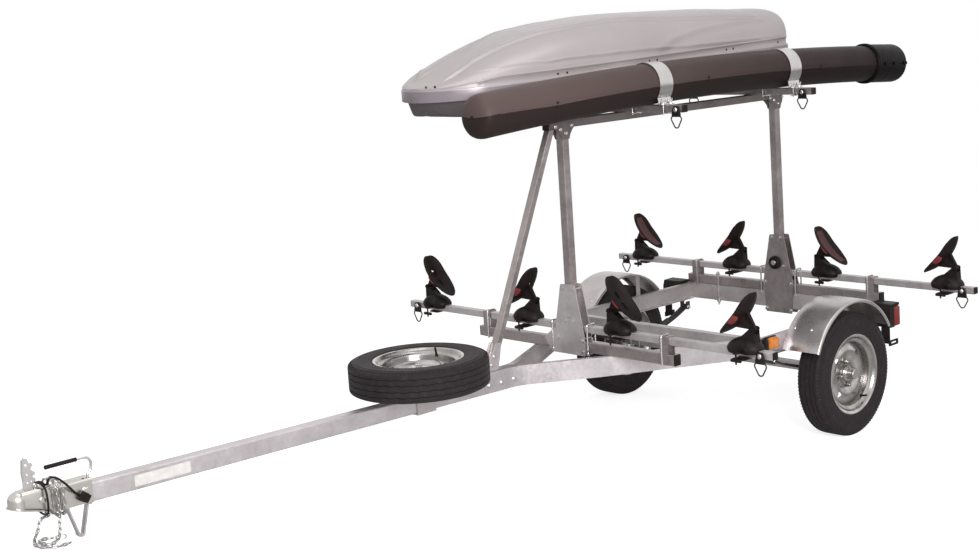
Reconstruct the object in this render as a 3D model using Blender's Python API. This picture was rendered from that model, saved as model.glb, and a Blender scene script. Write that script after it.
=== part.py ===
"""Two-tier kayak trailer with eight boat saddles, an upper rack, a rod tube and a cargo box.

Everything is modelled in the deck frame: X runs forward to the hitch, Y to the
trailer's left and Z up, with the origin at the centre of the front load bar.
The deck then leans nose down until the tyres and the parking foot share a floor.
"""

import math

import bmesh
import bpy
from mathutils import Matrix, Vector

# Fits shared by all pieces
GAP = 0.0003
SMOOTH_ANGLE = math.radians(40)

# Stations along the trailer and the two load bars
FRONT_X = 0.0
REAR_X = -1.41
BAR_SIZE = 0.030
BAR_LENGTH = 2.062
BAR_CORNER = 0.003

# Cross beams under the load bars, with a folded bracket near each end
BEAM_WIDTH = 0.038
BEAM_HEIGHT = 0.044
BEAM_LENGTH = 1.114
BEAM_TOP = -0.051
BRACKET_Y = 0.510
BRACKET_WIDTH = 0.040
BRACKET_SHEET = 0.003

# Posts, gusset plates and the upper rack
POST_SIZE = 0.038
POST_CORNER = 0.004
PLATE_SHEET = 0.0035
PLATE_TOP = 0.180
PLATE_TOP_HALF = 0.042
FRONT_PLATE_HALF = 0.082
FRONT_PLATE_BOTTOM = -0.112
FRONT_PLATE_FLARE = 0.150
REAR_PLATE_HALF = 0.088
REAR_PLATE_FOOT_HALF = 0.074
REAR_PLATE_BOTTOM = -0.195
SPACER_RADIUS = 0.0045
SPACER_HIGH = (0.0285, 0.162)
SPACER_LOW = (0.070, -0.0420)
RAIL_BOTTOM = 0.8215
RAIL_HEIGHT = 0.034
RAIL_FRONT_X = 0.090
RAIL_REAR_X = -1.450
HEAD_SHEET = 0.003
TOP_BAR_SIZE = 0.031
TOP_BAR_LENGTH = 0.720
TOP_BAR_X = (-0.346, -1.226)
BRACE_WIDTH = 0.032
BRACE_DEPTH = 0.0285
BRACE_TOP_X = 0.0715
BRACE_FOOT_X = 0.4840

# Tongue, which rises a little towards the hitch
TONGUE_WIDTH = 0.051
TONGUE_HEIGHT = 0.062
TONGUE_REAR_X = 0.400
TONGUE_FRONT_X = 2.270
TONGUE_REAR_Z = -0.1400
TONGUE_RISE = math.radians(0.92)
LUG_SHEET = 0.003

# Frame rails: pressed channels that run back from the tongue
CHANNEL_HEIGHT = 0.080
CHANNEL_SHEET = 0.003
CHANNEL_FLANGE = 0.025
RAIL_NOSE_X = 0.530
RAIL_SPLIT_X = 0.345
RAIL_BEND_X = -0.560
RAIL_SIDE_Y = 0.555
RAIL_DROP = 0.022
RAIL_LEVEL_X = 0.060
RAIL_BEND_RADIUS = 0.120
RAIL_SPLIT_RADIUS = 0.200
FRONT_MEMBER_X = -0.540
FRONT_MEMBER_DEPTH = 0.038
REAR_MEMBER_REACH = 0.013
REAR_MEMBER_LENGTH = 2 * (RAIL_SIDE_Y + REAR_MEMBER_REACH)
REAR_MEMBER_HEIGHT = 0.076
MEMBER_SHEET = 0.003

# Running gear
WHEEL_X = -0.966
TYRE_CLEARANCE = 0.035
WHEEL_Z = -0.3144
TYRE_RADIUS = 0.2655
TYRE_HALF_WIDTH = 0.061
WHEEL_Y = RAIL_SIDE_Y + TYRE_CLEARANCE + TYRE_HALF_WIDTH
TYRE_SIDES = 36
RIM_RADIUS = 0.169
RIM_HALF_WIDTH = 0.056
RIM_SEAT_RADIUS = 0.160
RIM_WELL_RADIUS = 0.140
RIM_SHEET = 0.003
RIM_SIDES = 24
HUB_RADIUS = 0.032
HUB_REACH = 0.040
CAP_RADIUS = 0.024
CAP_REACH = 0.062
SPINDLE_RADIUS = 0.010
AXLE_SIZE = 0.036
AXLE_END_GAP = 0.008
AXLE_LENGTH = 2 * (WHEEL_Y - HUB_REACH - AXLE_END_GAP)
AXLE_Z = -0.311
SPRING_INSET = 0.025
SPRING_Y = RAIL_SIDE_Y - SPRING_INSET
SPRING_WIDTH = 0.040
SPRING_THICKNESS = 0.012
SPRING_FRONT_X = -0.620
SPRING_REAR_X = -1.320
SPRING_EYE_Z = -0.205
SPRING_EYE_RADIUS = 0.014

# Fenders and lights
FENDER_X = -0.938
FENDER_Z = -0.285
FENDER_RADIUS = 0.300
FENDER_SHEET = 0.003
FENDER_OVERHANG = 0.030
FENDER_INNER_Y = RAIL_SIDE_Y + 2 * GAP
FENDER_OUTER_Y = WHEEL_Y + TYRE_HALF_WIDTH + FENDER_OVERHANG
FENDER_FRONT_ANGLE = math.radians(66)
FENDER_REAR_ANGLE = math.radians(61)
LIP_DEPTH = 0.010
FENDER_STEPS = 14
STRUT_WIDTH = 0.028
STRUT_XS = (-0.870, -1.010)
LAMP_FRONT_X = -1.312
LAMP_REAR_X = -1.388
LAMP_INNER_Y = RAIL_SIDE_Y + GAP
LAMP_OUTER_Y = 0.664
LAMP_TOP = -0.081
LAMP_BOTTOM = -0.187

# Hitch end
SLEEVE_REAR_X = 2.190
SLEEVE_FRONT_X = 2.345
SLEEVE_TOP = -0.063
SLEEVE_BOTTOM = -0.139
SLEEVE_SHEET = 0.004
NOSE_TIP_X = 2.461
BALL_X = 2.424
BALL_Z = -0.086
BALL_RADIUS = 0.0255
BALL_SIDES = 16
DOME_RADIUS = 0.034
NOSE_TOP = -0.0555
LATCH_X = 2.362
LATCH_Z = -0.0475
LATCH_SHEET = 0.004
LATCH_PIN_RADIUS = 0.002
HANDLE_Y = 0.016
HANDLE_GRIP_RADIUS = 0.007
HANDLE_ROD_RADIUS = 0.0045
FOOT_X = 2.231
FOOT_Z = -0.2360
FOOT_BEND_RADIUS = 0.012
FOOT_WIDTH = 0.022
FOOT_SHEET = 0.005
PLUG_SIZE = (0.036, 0.018, 0.030)
PLUG_PLACE = (2.2265, 0.0395, -0.1135)
PLUG_TURN = math.radians(-35)

# Safety chain and light cable, wound round the coupler
CHAIN_RADIUS = 0.007
CHAIN_WRAPS = 2
CHAIN_SLACK = 0.0060
CHAIN_LIFT = 0.0013
CHAIN_WRAP_X = 2.308
CHAIN_WRAP_PITCH = 0.018
CABLE_RADIUS = 0.0035
CABLE_LOOP_X = 2.349
CABLE_LOOP_PITCH = 0.010

# Spare wheel, lying flat on the tongue
SPARE_X = 0.828
SPARE_Z = -0.017
SPARE_HOLE_RADIUS = 0.030
SPARE_COLUMN_RADIUS = 0.036
CARRIER_SHEET = 0.005

# Saddles on each load bar: two near its ends and two near its middle
SADDLE_YS = (-0.860, -0.264, 0.264, 0.897)
SADDLE_HALF_LENGTH = 0.075
SADDLE_HALF_WIDTH = 0.050
SADDLE_TOP = 0.060
SADDLE_SKIRT = 0.0
PIVOT_OUT = 0.045
PIVOT_UP = 0.092
PIVOT_RADIUS = 0.004
CHEEK_GAP = 0.0150
CHEEK_SHEET = 0.008
PAD_TOP = (0.053, 0.222)
PAD_BELLY = (0.022, 0.118)
PAD_TIP = (-0.103, 0.068)
PAD_HALF_WIDTH = 0.047
PAD_THICKNESS = 0.011
KNOB_X = 0.042
KNOB_Z = -0.036

# Rod tube with a slip-on rear cap
TUBE_Y = 0.182
TUBE_RADIUS = 0.085
TUBE_WALL = 0.005
TUBE_CREST_X = -0.810
TUBE_DROOP_FRONT = 0.027
TUBE_DROOP_REAR = 0.024
TUBE_NOSE_X = 0.642
TUBE_NOSE_LENGTH = 0.060
TUBE_END_X = -1.985
TUBE_SIDES = 20
CAP_FRONT_X = -1.875
CAP_END_X = -2.130
CAP_RING_X = -1.892
CAP_WALL = 0.004
CAP_FIT = 0.0022
STRAP_WIDTH = 0.080
STRAP_SHEET = 0.003
STRAP_FIT = 0.001
STRAP_REACH = 0.075
STRAP_FOOT = 0.018

# Cargo box: half widths and heights along its length; its rim rises toward the back
BOX_Y = -0.285
BOX_WALL = 0.005
BOX_SPLIT_Z = 0.981
BOX_TILT = -0.033
BOX_LIP = 0.049
BOX_STATIONS = (
    # x, half width, top of the lid, underside's rise above the bars, roundness of the shoulders
    (0.516, 0.036, 1.021, 0.050, 0.62),
    (0.496, 0.098, 1.028, 0.030, 0.62),
    (0.451, 0.166, 1.043, 0.016, 0.62),
    (0.351, 0.242, 1.090, 0.008, 0.62),
    (0.120, 0.305, 1.176, 0.002, 0.62),
    (-0.100, 0.336, 1.228, 0.0, 0.62),
    (-0.600, 0.365, 1.263, 0.0, 0.62),
    (-1.050, 0.374, 1.255, 0.0, 0.57),
    (-1.330, 0.381, 1.241, 0.003, 0.50),
    (-1.410, 0.375, 1.242, 0.010, 0.47),
    (-1.445, 0.348, 1.217, 0.025, 0.46),
    (-1.460, 0.309, 1.167, 0.050, 0.46),
)
BOX_CORNER_STEPS = 5
BASE_INSET = 0.010


def arc(centre, radius, start, end, steps):
    """Points on a circle, from one angle to another, in radians."""
    points = []
    for step in range(steps + 1):
        angle = start + (end - start) * step / steps
        points.append((centre[0] + radius * math.cos(angle), centre[1] + radius * math.sin(angle)))
    return points


def rounded_rectangle(width, height, radius, steps=2, centre=(0.0, 0.0)):
    """Outline of a tube section with rolled corners."""
    points = []
    for turn, (sx, sy) in enumerate(((1, 1), (-1, 1), (-1, -1), (1, -1))):
        corner = (centre[0] + sx * (width / 2 - radius), centre[1] + sy * (height / 2 - radius))
        start = turn * math.pi / 2
        points += arc(corner, radius, start, start + math.pi / 2, steps)
    return points


def offset_path(points, distance):
    """Move an open path sideways, mitred at its bends."""
    moved = []
    for index, point in enumerate(points):
        here = Vector(point)
        before = Vector(points[max(index - 1, 0)])
        after = Vector(points[min(index + 1, len(points) - 1)])
        first = (here - before).normalized() if index else (after - here).normalized()
        last = (after - here).normalized() if index < len(points) - 1 else first
        normal = Vector((-(first + last).y, (first + last).x)).normalized()
        stretch = max(normal.dot(Vector((-last.y, last.x))), 0.3)
        moved.append(tuple(here + normal * distance / stretch))
    return moved


def strip_outline(points, thickness):
    """Outline of a bent flat bar whose middle follows the path."""
    return offset_path(points, thickness / 2) + offset_path(points, -thickness / 2)[::-1]


def filleted(points, radii, steps=5):
    """Round the inner corners of an open path."""
    result = [points[0]]
    for index in range(1, len(points) - 1):
        corner = Vector(points[index])
        back = (Vector(points[index - 1]) - corner).normalized()
        ahead = (Vector(points[index + 1]) - corner).normalized()
        half = back.angle(ahead) / 2
        reach = radii[index - 1] / math.tan(half)
        centre = corner + (back + ahead).normalized() * radii[index - 1] / math.sin(half)
        start = corner + back * reach - centre
        end = corner + ahead * reach - centre
        for step in range(steps + 1):
            blend = (start * (1 - step / steps) + end * step / steps).normalized()
            result.append(tuple(centre + blend * radii[index - 1]))
    result.append(points[-1])
    return result


def loft(rings, closed_ends=True):
    """Skin between rings of equal length, with a face over each end."""
    mesh = bmesh.new()
    rows = [[mesh.verts.new(point) for point in ring] for ring in rings]
    count = len(rows[0])
    for low, high in zip(rows, rows[1:]):
        for index in range(count):
            after = (index + 1) % count
            mesh.faces.new((low[index], low[after], high[after], high[index]))
    if closed_ends:
        mesh.faces.new(rows[0])
        mesh.faces.new(rows[-1])
    bmesh.ops.recalc_face_normals(mesh, faces=mesh.faces)
    return mesh


def prism(outline, axis, low, high):
    """Extrude an outline along an axis; its points give the other two axes in order."""
    place = {
        "x": lambda a, b, c: (c, a, b),
        "y": lambda a, b, c: (a, c, b),
        "z": lambda a, b, c: (a, b, c),
    }[axis]
    return loft([[place(a, b, level) for a, b in outline] for level in (low, high)])


def block(low, high):
    outline = ((low[0], low[1]), (high[0], low[1]), (high[0], high[1]), (low[0], high[1]))
    return prism(outline, "z", low[2], high[2])


def turned(profile, sides, closed=True, start=0.0):
    """Turn a profile of (radius, distance along Y) points about the Y axis."""
    mesh = bmesh.new()
    rings = []
    for radius, along in profile:
        count = sides if radius > 0 else 1
        ring = []
        for index in range(count):
            angle = start + index * 2 * math.pi / sides
            ring.append(mesh.verts.new((radius * math.sin(angle), along, radius * math.cos(angle))))
        rings.append(ring)
    following = rings[1:] + rings[:1] if closed else rings[1:]
    for low, high in zip(rings, following):
        for index in range(sides):
            after = (index + 1) % sides
            around = ((low, index), (low, after), (high, after), (high, index))
            corners = list(dict.fromkeys(ring[spot % len(ring)] for ring, spot in around))
            if len(corners) > 2:
                mesh.faces.new(corners)
    bmesh.ops.recalc_face_normals(mesh, faces=mesh.faces)
    return mesh


def tube(points, radii, sides):
    """Round bar along a path, with a radius for each point."""
    rings = []
    side = None
    for index, point in enumerate(points):
        before = Vector(points[max(index - 1, 0)])
        after = Vector(points[min(index + 1, len(points) - 1)])
        ahead = (after - before).normalized()
        if side is None:
            helper = Vector((0, 0, 1)) if abs(ahead.z) < 0.9 else Vector((0, 1, 0))
            side = ahead.cross(helper).normalized()
        side = (side - ahead * side.dot(ahead)).normalized()
        up = ahead.cross(side)
        ring = []
        for step in range(sides):
            angle = (step + 0.5) * 2 * math.pi / sides
            ring.append(Vector(point) + (side * math.cos(angle) + up * math.sin(angle)) * radii[index])
        rings.append(ring)
    return loft(rings)


def rod(start, end, radius, sides=10):
    return tube((start, end), (radius, radius), sides)


def combine(first, second, operation="UNION"):
    """Join two closed shapes, or cut the second from the first."""
    things = []
    for shape in (first, second):
        mesh = bpy.data.meshes.new("work")
        shape.to_mesh(mesh)
        shape.free()
        thing = bpy.data.objects.new("work", mesh)
        bpy.context.scene.collection.objects.link(thing)
        things.append(thing)
    modifier = things[0].modifiers.new("work", "BOOLEAN")
    modifier.object = things[1]
    modifier.operation = operation
    result = bmesh.new()
    result.from_object(things[0], bpy.context.evaluated_depsgraph_get())
    for thing in things:
        mesh = thing.data
        bpy.data.objects.remove(thing)
        bpy.data.meshes.remove(mesh)
    bmesh.ops.remove_doubles(result, verts=result.verts, dist=0.000002)
    bmesh.ops.dissolve_degenerate(result, edges=result.edges, dist=0.000002)
    return result


def joined(first, *others):
    for other in others:
        first = combine(first, other)
    return first


def cut(first, *others):
    for other in others:
        first = combine(first, other, "DIFFERENCE")
    return first


def mirrored(shape):
    """The same shape on the trailer's right side."""
    bmesh.ops.scale(shape, vec=(1, -1, 1), verts=shape.verts)
    bmesh.ops.recalc_face_normals(shape, faces=shape.faces)
    return shape


def material(name, colour, roughness, metallic=0.0):
    result = bpy.data.materials.new(name)
    result.use_nodes = True
    shader = result.node_tree.nodes["Principled BSDF"]
    shader.inputs["Base Color"].default_value = (*colour, 1.0)
    shader.inputs["Roughness"].default_value = roughness
    shader.inputs["Metallic"].default_value = metallic
    return result


def finishes():
    return {
        "galvanised": material("galvanised", (0.56, 0.54, 0.52), 0.45, 0.85),
        "zinc": material("zinc", (0.72, 0.72, 0.70), 0.28, 1.0),
        "black_steel": material("black_steel", (0.030, 0.028, 0.028), 0.5, 0.3),
        "tyre": material("tyre", (0.022, 0.020, 0.020), 0.8),
        "plastic": material("plastic", (0.035, 0.031, 0.031), 0.55),
        "box_lid": material("box_lid", (0.58, 0.53, 0.54), 0.38, 0.3),
        "box_base": material("box_base", (0.10, 0.095, 0.10), 0.6),
        "tube": material("tube", (0.045, 0.038, 0.036), 0.5),
        "lamp": material("lamp", (0.12, 0.015, 0.012), 0.3),
    }


def add(name, shape, finish, parent, at=(0, 0, 0), turn=(0, 0, 0)):
    """Make one named piece from a closed shape."""
    bmesh.ops.recalc_face_normals(shape, faces=shape.faces)
    mesh = bpy.data.meshes.new(name)
    shape.to_mesh(mesh)
    shape.free()
    mesh.shade_smooth()
    mesh.set_sharp_from_angle(angle=SMOOTH_ANGLE)
    mesh.materials.append(finish)
    piece = bpy.data.objects.new(name, mesh)
    piece.location = at
    piece.rotation_euler = turn
    piece.parent = parent
    bpy.context.scene.collection.objects.link(piece)
    return piece


def pivot(name, parent, at, turn=(0, 0, 0)):
    """An empty on a joint's axis."""
    empty = bpy.data.objects.new(name, None)
    empty.location = at
    empty.rotation_euler = turn
    empty.parent = parent
    bpy.context.scene.collection.objects.link(empty)
    return empty


def deck_lean():
    """Nose-down angle at which the tyres and the parking foot touch one floor."""
    ahead = FOOT_X - WHEEL_X
    below = WHEEL_Z - FOOT_Z
    reach = math.hypot(ahead, below)
    return math.asin((TYRE_RADIUS - FOOT_BEND_RADIUS) / reach) - math.atan2(below, ahead)


def floor_height(x):
    """Height of the floor in the deck frame."""
    lean = deck_lean()
    touch_x = FOOT_X + FOOT_BEND_RADIUS * math.sin(lean)
    touch_z = FOOT_Z - FOOT_BEND_RADIUS * math.cos(lean)
    return touch_z + (x - touch_x) * math.tan(lean)


def tongue_middle(x):
    return TONGUE_REAR_Z + (x - TONGUE_REAR_X) * math.tan(TONGUE_RISE)


def tongue_top(x):
    return tongue_middle(x) + TONGUE_HEIGHT / 2 / math.cos(TONGUE_RISE)


def tongue_bottom(x):
    return tongue_middle(x) - TONGUE_HEIGHT / 2 / math.cos(TONGUE_RISE)


def beam_bottom():
    return BEAM_TOP - BEAM_HEIGHT


def rail_middle(x):
    """Height of a frame rail's centre: level at the back, rising to the tongue."""
    level = beam_bottom() - GAP - CHANNEL_HEIGHT / 2
    return level + RAIL_DROP * max(x - RAIL_LEVEL_X, 0.0)


def rail_path():
    """Plan of the outer face of the left frame rail, from the tongue to the back."""
    nose_y = TONGUE_WIDTH / 2 + GAP + CHANNEL_SHEET
    points = (
        (RAIL_NOSE_X, nose_y),
        (RAIL_SPLIT_X, nose_y),
        (RAIL_BEND_X, RAIL_SIDE_Y),
        (REAR_X + BEAM_WIDTH / 2 + GAP, RAIL_SIDE_Y),
    )
    path = filleted(points, (RAIL_SPLIT_RADIUS, RAIL_BEND_RADIUS))
    for index in range(len(path) - 1):
        ahead, behind = path[index], path[index + 1]
        if behind[0] < RAIL_LEVEL_X < ahead[0]:
            share = (ahead[0] - RAIL_LEVEL_X) / (ahead[0] - behind[0])
            path.insert(index + 1, (RAIL_LEVEL_X, ahead[1] + (behind[1] - ahead[1]) * share))
            break
    return path


def rail_inner(x):
    """Inner face of the left frame rail's web at a place along the trailer."""
    path = offset_path(rail_path(), CHANNEL_SHEET)
    for ahead, behind in zip(path, path[1:]):
        if behind[0] <= x <= ahead[0]:
            share = (ahead[0] - x) / (ahead[0] - behind[0])
            return ahead[1] + (behind[1] - ahead[1]) * share
    return path[-1][1]


def top_bar_top():
    return RAIL_BOTTOM + RAIL_HEIGHT + GAP + TOP_BAR_SIZE


def tube_middle(x):
    """Height of the rod tube's centre: it rests on both top bars and droops at its ends."""
    along = x - TUBE_CREST_X
    droop = (TUBE_DROOP_FRONT if along > 0 else TUBE_DROOP_REAR) * along * along
    rest = TOP_BAR_X[0] - TUBE_CREST_X
    crest = top_bar_top() + GAP + TUBE_RADIUS + TUBE_DROOP_FRONT * rest * rest + 0.0002
    return crest - droop


def make_tongue(looks, deck):
    length = (TONGUE_FRONT_X - TONGUE_REAR_X) / math.cos(TONGUE_RISE)
    shape = prism(rounded_rectangle(TONGUE_WIDTH, TONGUE_HEIGHT, 0.005), "x", 0, length)
    foot = BRACE_FOOT_X - TONGUE_REAR_X
    high = TONGUE_HEIGHT / 2
    for side in (1, -1):
        inner = side * (BRACE_WIDTH / 2 + GAP)
        outer = side * (BRACE_WIDTH / 2 + GAP + LUG_SHEET)
        lug = (
            (foot - 0.033, high - 0.004),
            (foot + 0.032, high - 0.004),
            (foot + 0.024, high + 0.030),
            (foot - 0.030, high + 0.128),
            (foot - 0.060, high + 0.128),
        )
        shape = combine(shape, prism(lug, "y", min(inner, outer), max(inner, outer)))
    place = (TONGUE_REAR_X, 0, TONGUE_REAR_Z)
    add("tongue_tube", shape, looks["galvanised"], deck, place, (0, -TONGUE_RISE, 0))


def make_frame_rails(looks, deck):
    path = rail_path()
    inner = offset_path(path, 1.0)
    for label, side in (("left", 1), ("right", -1)):
        rings = []
        for (x, y), away in zip(path, inner):
            across = (Vector(away) - Vector((x, y))).normalized()
            flange = CHANNEL_FLANGE if x < RAIL_SPLIT_X else CHANNEL_SHEET + GAP / 3
            half = CHANNEL_HEIGHT / 2
            section = (
                (0, -half),
                (flange, -half),
                (flange, -half + CHANNEL_SHEET),
                (CHANNEL_SHEET, -half + CHANNEL_SHEET),
                (CHANNEL_SHEET, half - CHANNEL_SHEET),
                (flange, half - CHANNEL_SHEET),
                (flange, half),
                (0, half),
            )
            ring = []
            for inward, up in section:
                point = Vector((x, y)) + across * inward
                ring.append((point.x, side * point.y, rail_middle(x) + up))
            rings.append(ring)
        add(label + "_frame_rail", loft(rings), looks["galvanised"], deck)


def make_crossmembers(looks, deck):
    front = FRONT_MEMBER_X + FRONT_MEMBER_DEPTH / 2
    back = FRONT_MEMBER_X - FRONT_MEMBER_DEPTH / 2
    reach_front = rail_inner(front) - 2 * GAP
    reach_back = rail_inner(back) - 2 * GAP
    half = CHANNEL_HEIGHT / 2 - CHANNEL_SHEET - GAP
    middle = rail_middle(back)
    outline = ((front, -reach_front), (front, reach_front), (back, reach_back), (back, -reach_back))
    shape = prism(outline, "z", middle - half, middle + half)
    add("front_crossmember", shape, looks["galvanised"], deck)
    depth = BEAM_WIDTH / 2
    top = beam_bottom() - GAP
    bottom = top - REAR_MEMBER_HEIGHT
    channel = (
        (depth, bottom),
        (depth, top),
        (-depth, top),
        (-depth, top - MEMBER_SHEET),
        (depth - MEMBER_SHEET, top - MEMBER_SHEET),
        (depth - MEMBER_SHEET, bottom + MEMBER_SHEET),
        (-depth, bottom + MEMBER_SHEET),
        (-depth, bottom),
    )
    shape = prism(channel, "y", -REAR_MEMBER_LENGTH / 2, REAR_MEMBER_LENGTH / 2)
    add("rear_crossmember", shape, looks["galvanised"], deck, (REAR_X, 0, 0))


def cross_beam():
    """A beam with an inverted U bracket over the load bar near each end."""
    middle = BEAM_TOP - BEAM_HEIGHT / 2
    outline = rounded_rectangle(BEAM_WIDTH, BEAM_HEIGHT, BAR_CORNER, centre=(0, middle))
    shape = prism(outline, "y", -BEAM_LENGTH / 2, BEAM_LENGTH / 2)
    inner = BEAM_WIDTH / 2 - 0.0005
    outer = inner + BRACKET_SHEET
    roof = BAR_SIZE / 2 + GAP
    hoop = (
        (outer, beam_bottom() + 0.001),
        (outer, roof + BRACKET_SHEET),
        (-outer, roof + BRACKET_SHEET),
        (-outer, beam_bottom() + 0.001),
        (-inner, beam_bottom() + 0.001),
        (-inner, roof),
        (inner, roof),
        (inner, beam_bottom() + 0.001),
    )
    for side in (1, -1):
        low = side * BRACKET_Y - BRACKET_WIDTH / 2
        shape = combine(shape, prism(hoop, "y", low, low + BRACKET_WIDTH))
    return shape


def load_bar():
    outline = rounded_rectangle(BAR_SIZE, BAR_SIZE, BAR_CORNER)
    return prism(outline, "y", -BAR_LENGTH / 2, BAR_LENGTH / 2)


def gusset(outline):
    """A pair of plates each side of the post, held apart by spacer bolts."""
    inner = POST_SIZE / 2 + GAP
    shape = prism(outline, "x", inner, inner + PLATE_SHEET)
    shape = combine(shape, prism(outline, "x", -inner - PLATE_SHEET, -inner))
    for y, z in (SPACER_HIGH, SPACER_LOW):
        for side in (1, -1):
            reach = inner + PLATE_SHEET + 0.003
            bolt = rod((-reach, side * y, z), (reach, side * y, z), SPACER_RADIUS, 6)
            shape = combine(shape, bolt)
    return shape


def front_gusset_outline():
    corner = 0.008
    top = PLATE_TOP - corner
    points = arc((PLATE_TOP_HALF - corner, top), corner, 0, math.pi / 2, 2)
    points += arc((corner - PLATE_TOP_HALF, top), corner, math.pi / 2, math.pi, 2)
    points += [
        (-FRONT_PLATE_HALF, -0.004),
        (-FRONT_PLATE_FLARE, BEAM_TOP - 0.006),
        (0.04 - FRONT_PLATE_FLARE, FRONT_PLATE_BOTTOM),
        (FRONT_PLATE_HALF - 0.004, FRONT_PLATE_BOTTOM),
        (FRONT_PLATE_HALF, FRONT_PLATE_BOTTOM + 0.004),
        (FRONT_PLATE_HALF, -0.030),
    ]
    return points


def rear_gusset_outline():
    corner = 0.008
    top = PLATE_TOP - corner
    points = arc((PLATE_TOP_HALF - corner, top), corner, 0, math.pi / 2, 2)
    points += arc((corner - PLATE_TOP_HALF, top), corner, math.pi / 2, math.pi, 2)
    for side in (-1, 1):
        lower = [(side * REAR_PLATE_HALF, -0.055), (side * REAR_PLATE_FOOT_HALF, REAR_PLATE_BOTTOM)]
        points += lower if side < 0 else lower[::-1]
    return points


def make_stations(looks, deck):
    for label, x, outline in (
        ("front", FRONT_X, front_gusset_outline()),
        ("rear", REAR_X, rear_gusset_outline()),
    ):
        add(label + "_cross_beam", cross_beam(), looks["galvanised"], deck, (x, 0, 0))
        add(label + "_load_bar", load_bar(), looks["galvanised"], deck, (x, 0, 0))
        add(label + "_gusset", gusset(outline), looks["galvanised"], deck, (x, 0, 0))
        section = rounded_rectangle(POST_SIZE, POST_SIZE, POST_CORNER)
        post = prism(section, "z", BAR_SIZE / 2 + GAP, RAIL_BOTTOM - GAP)
        add(label + "_post", post, looks["galvanised"], deck, (x, 0, 0))


def make_brace(looks, deck):
    """Sloping bar from the front post head down to the tongue."""
    top_z = RAIL_BOTTOM - GAP
    foot_z = tongue_top(BRACE_FOOT_X - BRACE_DEPTH / 2) + 2 * GAP
    half = BRACE_DEPTH / 2
    outline = (
        (BRACE_TOP_X - half, top_z),
        (BRACE_TOP_X + half, top_z),
        (BRACE_FOOT_X + half, foot_z),
        (BRACE_FOOT_X - half, foot_z),
    )
    shape = prism(outline, "y", -BRACE_WIDTH / 2, BRACE_WIDTH / 2)
    piece = add("post_brace", shape, looks["galvanised"], deck)
    bevel = piece.modifiers.new("edges", "BEVEL")
    bevel.width = 0.002
    bevel.segments = 2


def head_plate(station):
    """Outline of the plate that ties a post to the top rail."""
    wing_top = RAIL_BOTTOM + 0.024
    ahead, behind = 0.085, -0.058
    half = POST_SIZE / 2
    right = [(ahead, wing_top), (ahead, wing_top - 0.014)]
    right += [(half + 0.028, RAIL_BOTTOM - 0.008), (half + 0.008, RAIL_BOTTOM - 0.028)]
    left = [(-half - 0.006, RAIL_BOTTOM - 0.028), (-half - 0.018, RAIL_BOTTOM - 0.010)]
    left += [(behind, wing_top - 0.014), (behind, wing_top)]
    foot = [(half, RAIL_BOTTOM - 0.046), (-half, RAIL_BOTTOM - 0.046)]
    outline = right + foot + left
    return [(station + x, z) for x, z in outline]


def make_top_rail(looks, deck):
    inner = POST_SIZE / 2 + GAP
    half = inner + 0.0005
    middle = RAIL_BOTTOM + RAIL_HEIGHT / 2
    section = rounded_rectangle(2 * half, RAIL_HEIGHT, BAR_CORNER, centre=(0, middle))
    shape = prism(section, "x", RAIL_REAR_X, RAIL_FRONT_X)
    for station in (FRONT_X, REAR_X):
        outline = head_plate(station)
        if station == REAR_X:
            outline = [(max(x, RAIL_REAR_X), z) for x, z in outline]
        for side in (1, -1):
            low = min(side * inner, side * (inner + HEAD_SHEET))
            shape = combine(shape, prism(outline, "y", low, low + HEAD_SHEET))
    add("top_rail", shape, looks["galvanised"], deck)
    for label, x in zip(("front", "rear"), TOP_BAR_X):
        section = rounded_rectangle(TOP_BAR_SIZE, TOP_BAR_SIZE, BAR_CORNER)
        shape = prism(section, "y", -TOP_BAR_LENGTH / 2, TOP_BAR_LENGTH / 2)
        place = (x, 0, top_bar_top() - TOP_BAR_SIZE / 2)
        add(label + "_top_bar", shape, looks["galvanised"], deck, place)


def tyre_shape(start):
    flat = math.cos(math.pi / TYRE_SIDES)
    tread = TYRE_RADIUS / flat
    seat = (RIM_SEAT_RADIUS + GAP) / flat
    clear = (RIM_RADIUS + GAP) / flat
    wide = TYRE_HALF_WIDTH
    flange_inner = RIM_HALF_WIDTH - 0.0085
    right = [
        (seat, flange_inner),
        (clear, flange_inner + 0.004),
        (clear + 0.008, wide - 0.003),
        (TYRE_RADIUS - 0.050, wide),
        (TYRE_RADIUS - 0.015, wide - 0.004),
        (tread, wide - 0.013),
    ]
    left = [(radius, -along) for radius, along in right[::-1]]
    return turned(right + left, TYRE_SIDES, start=start)


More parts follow.
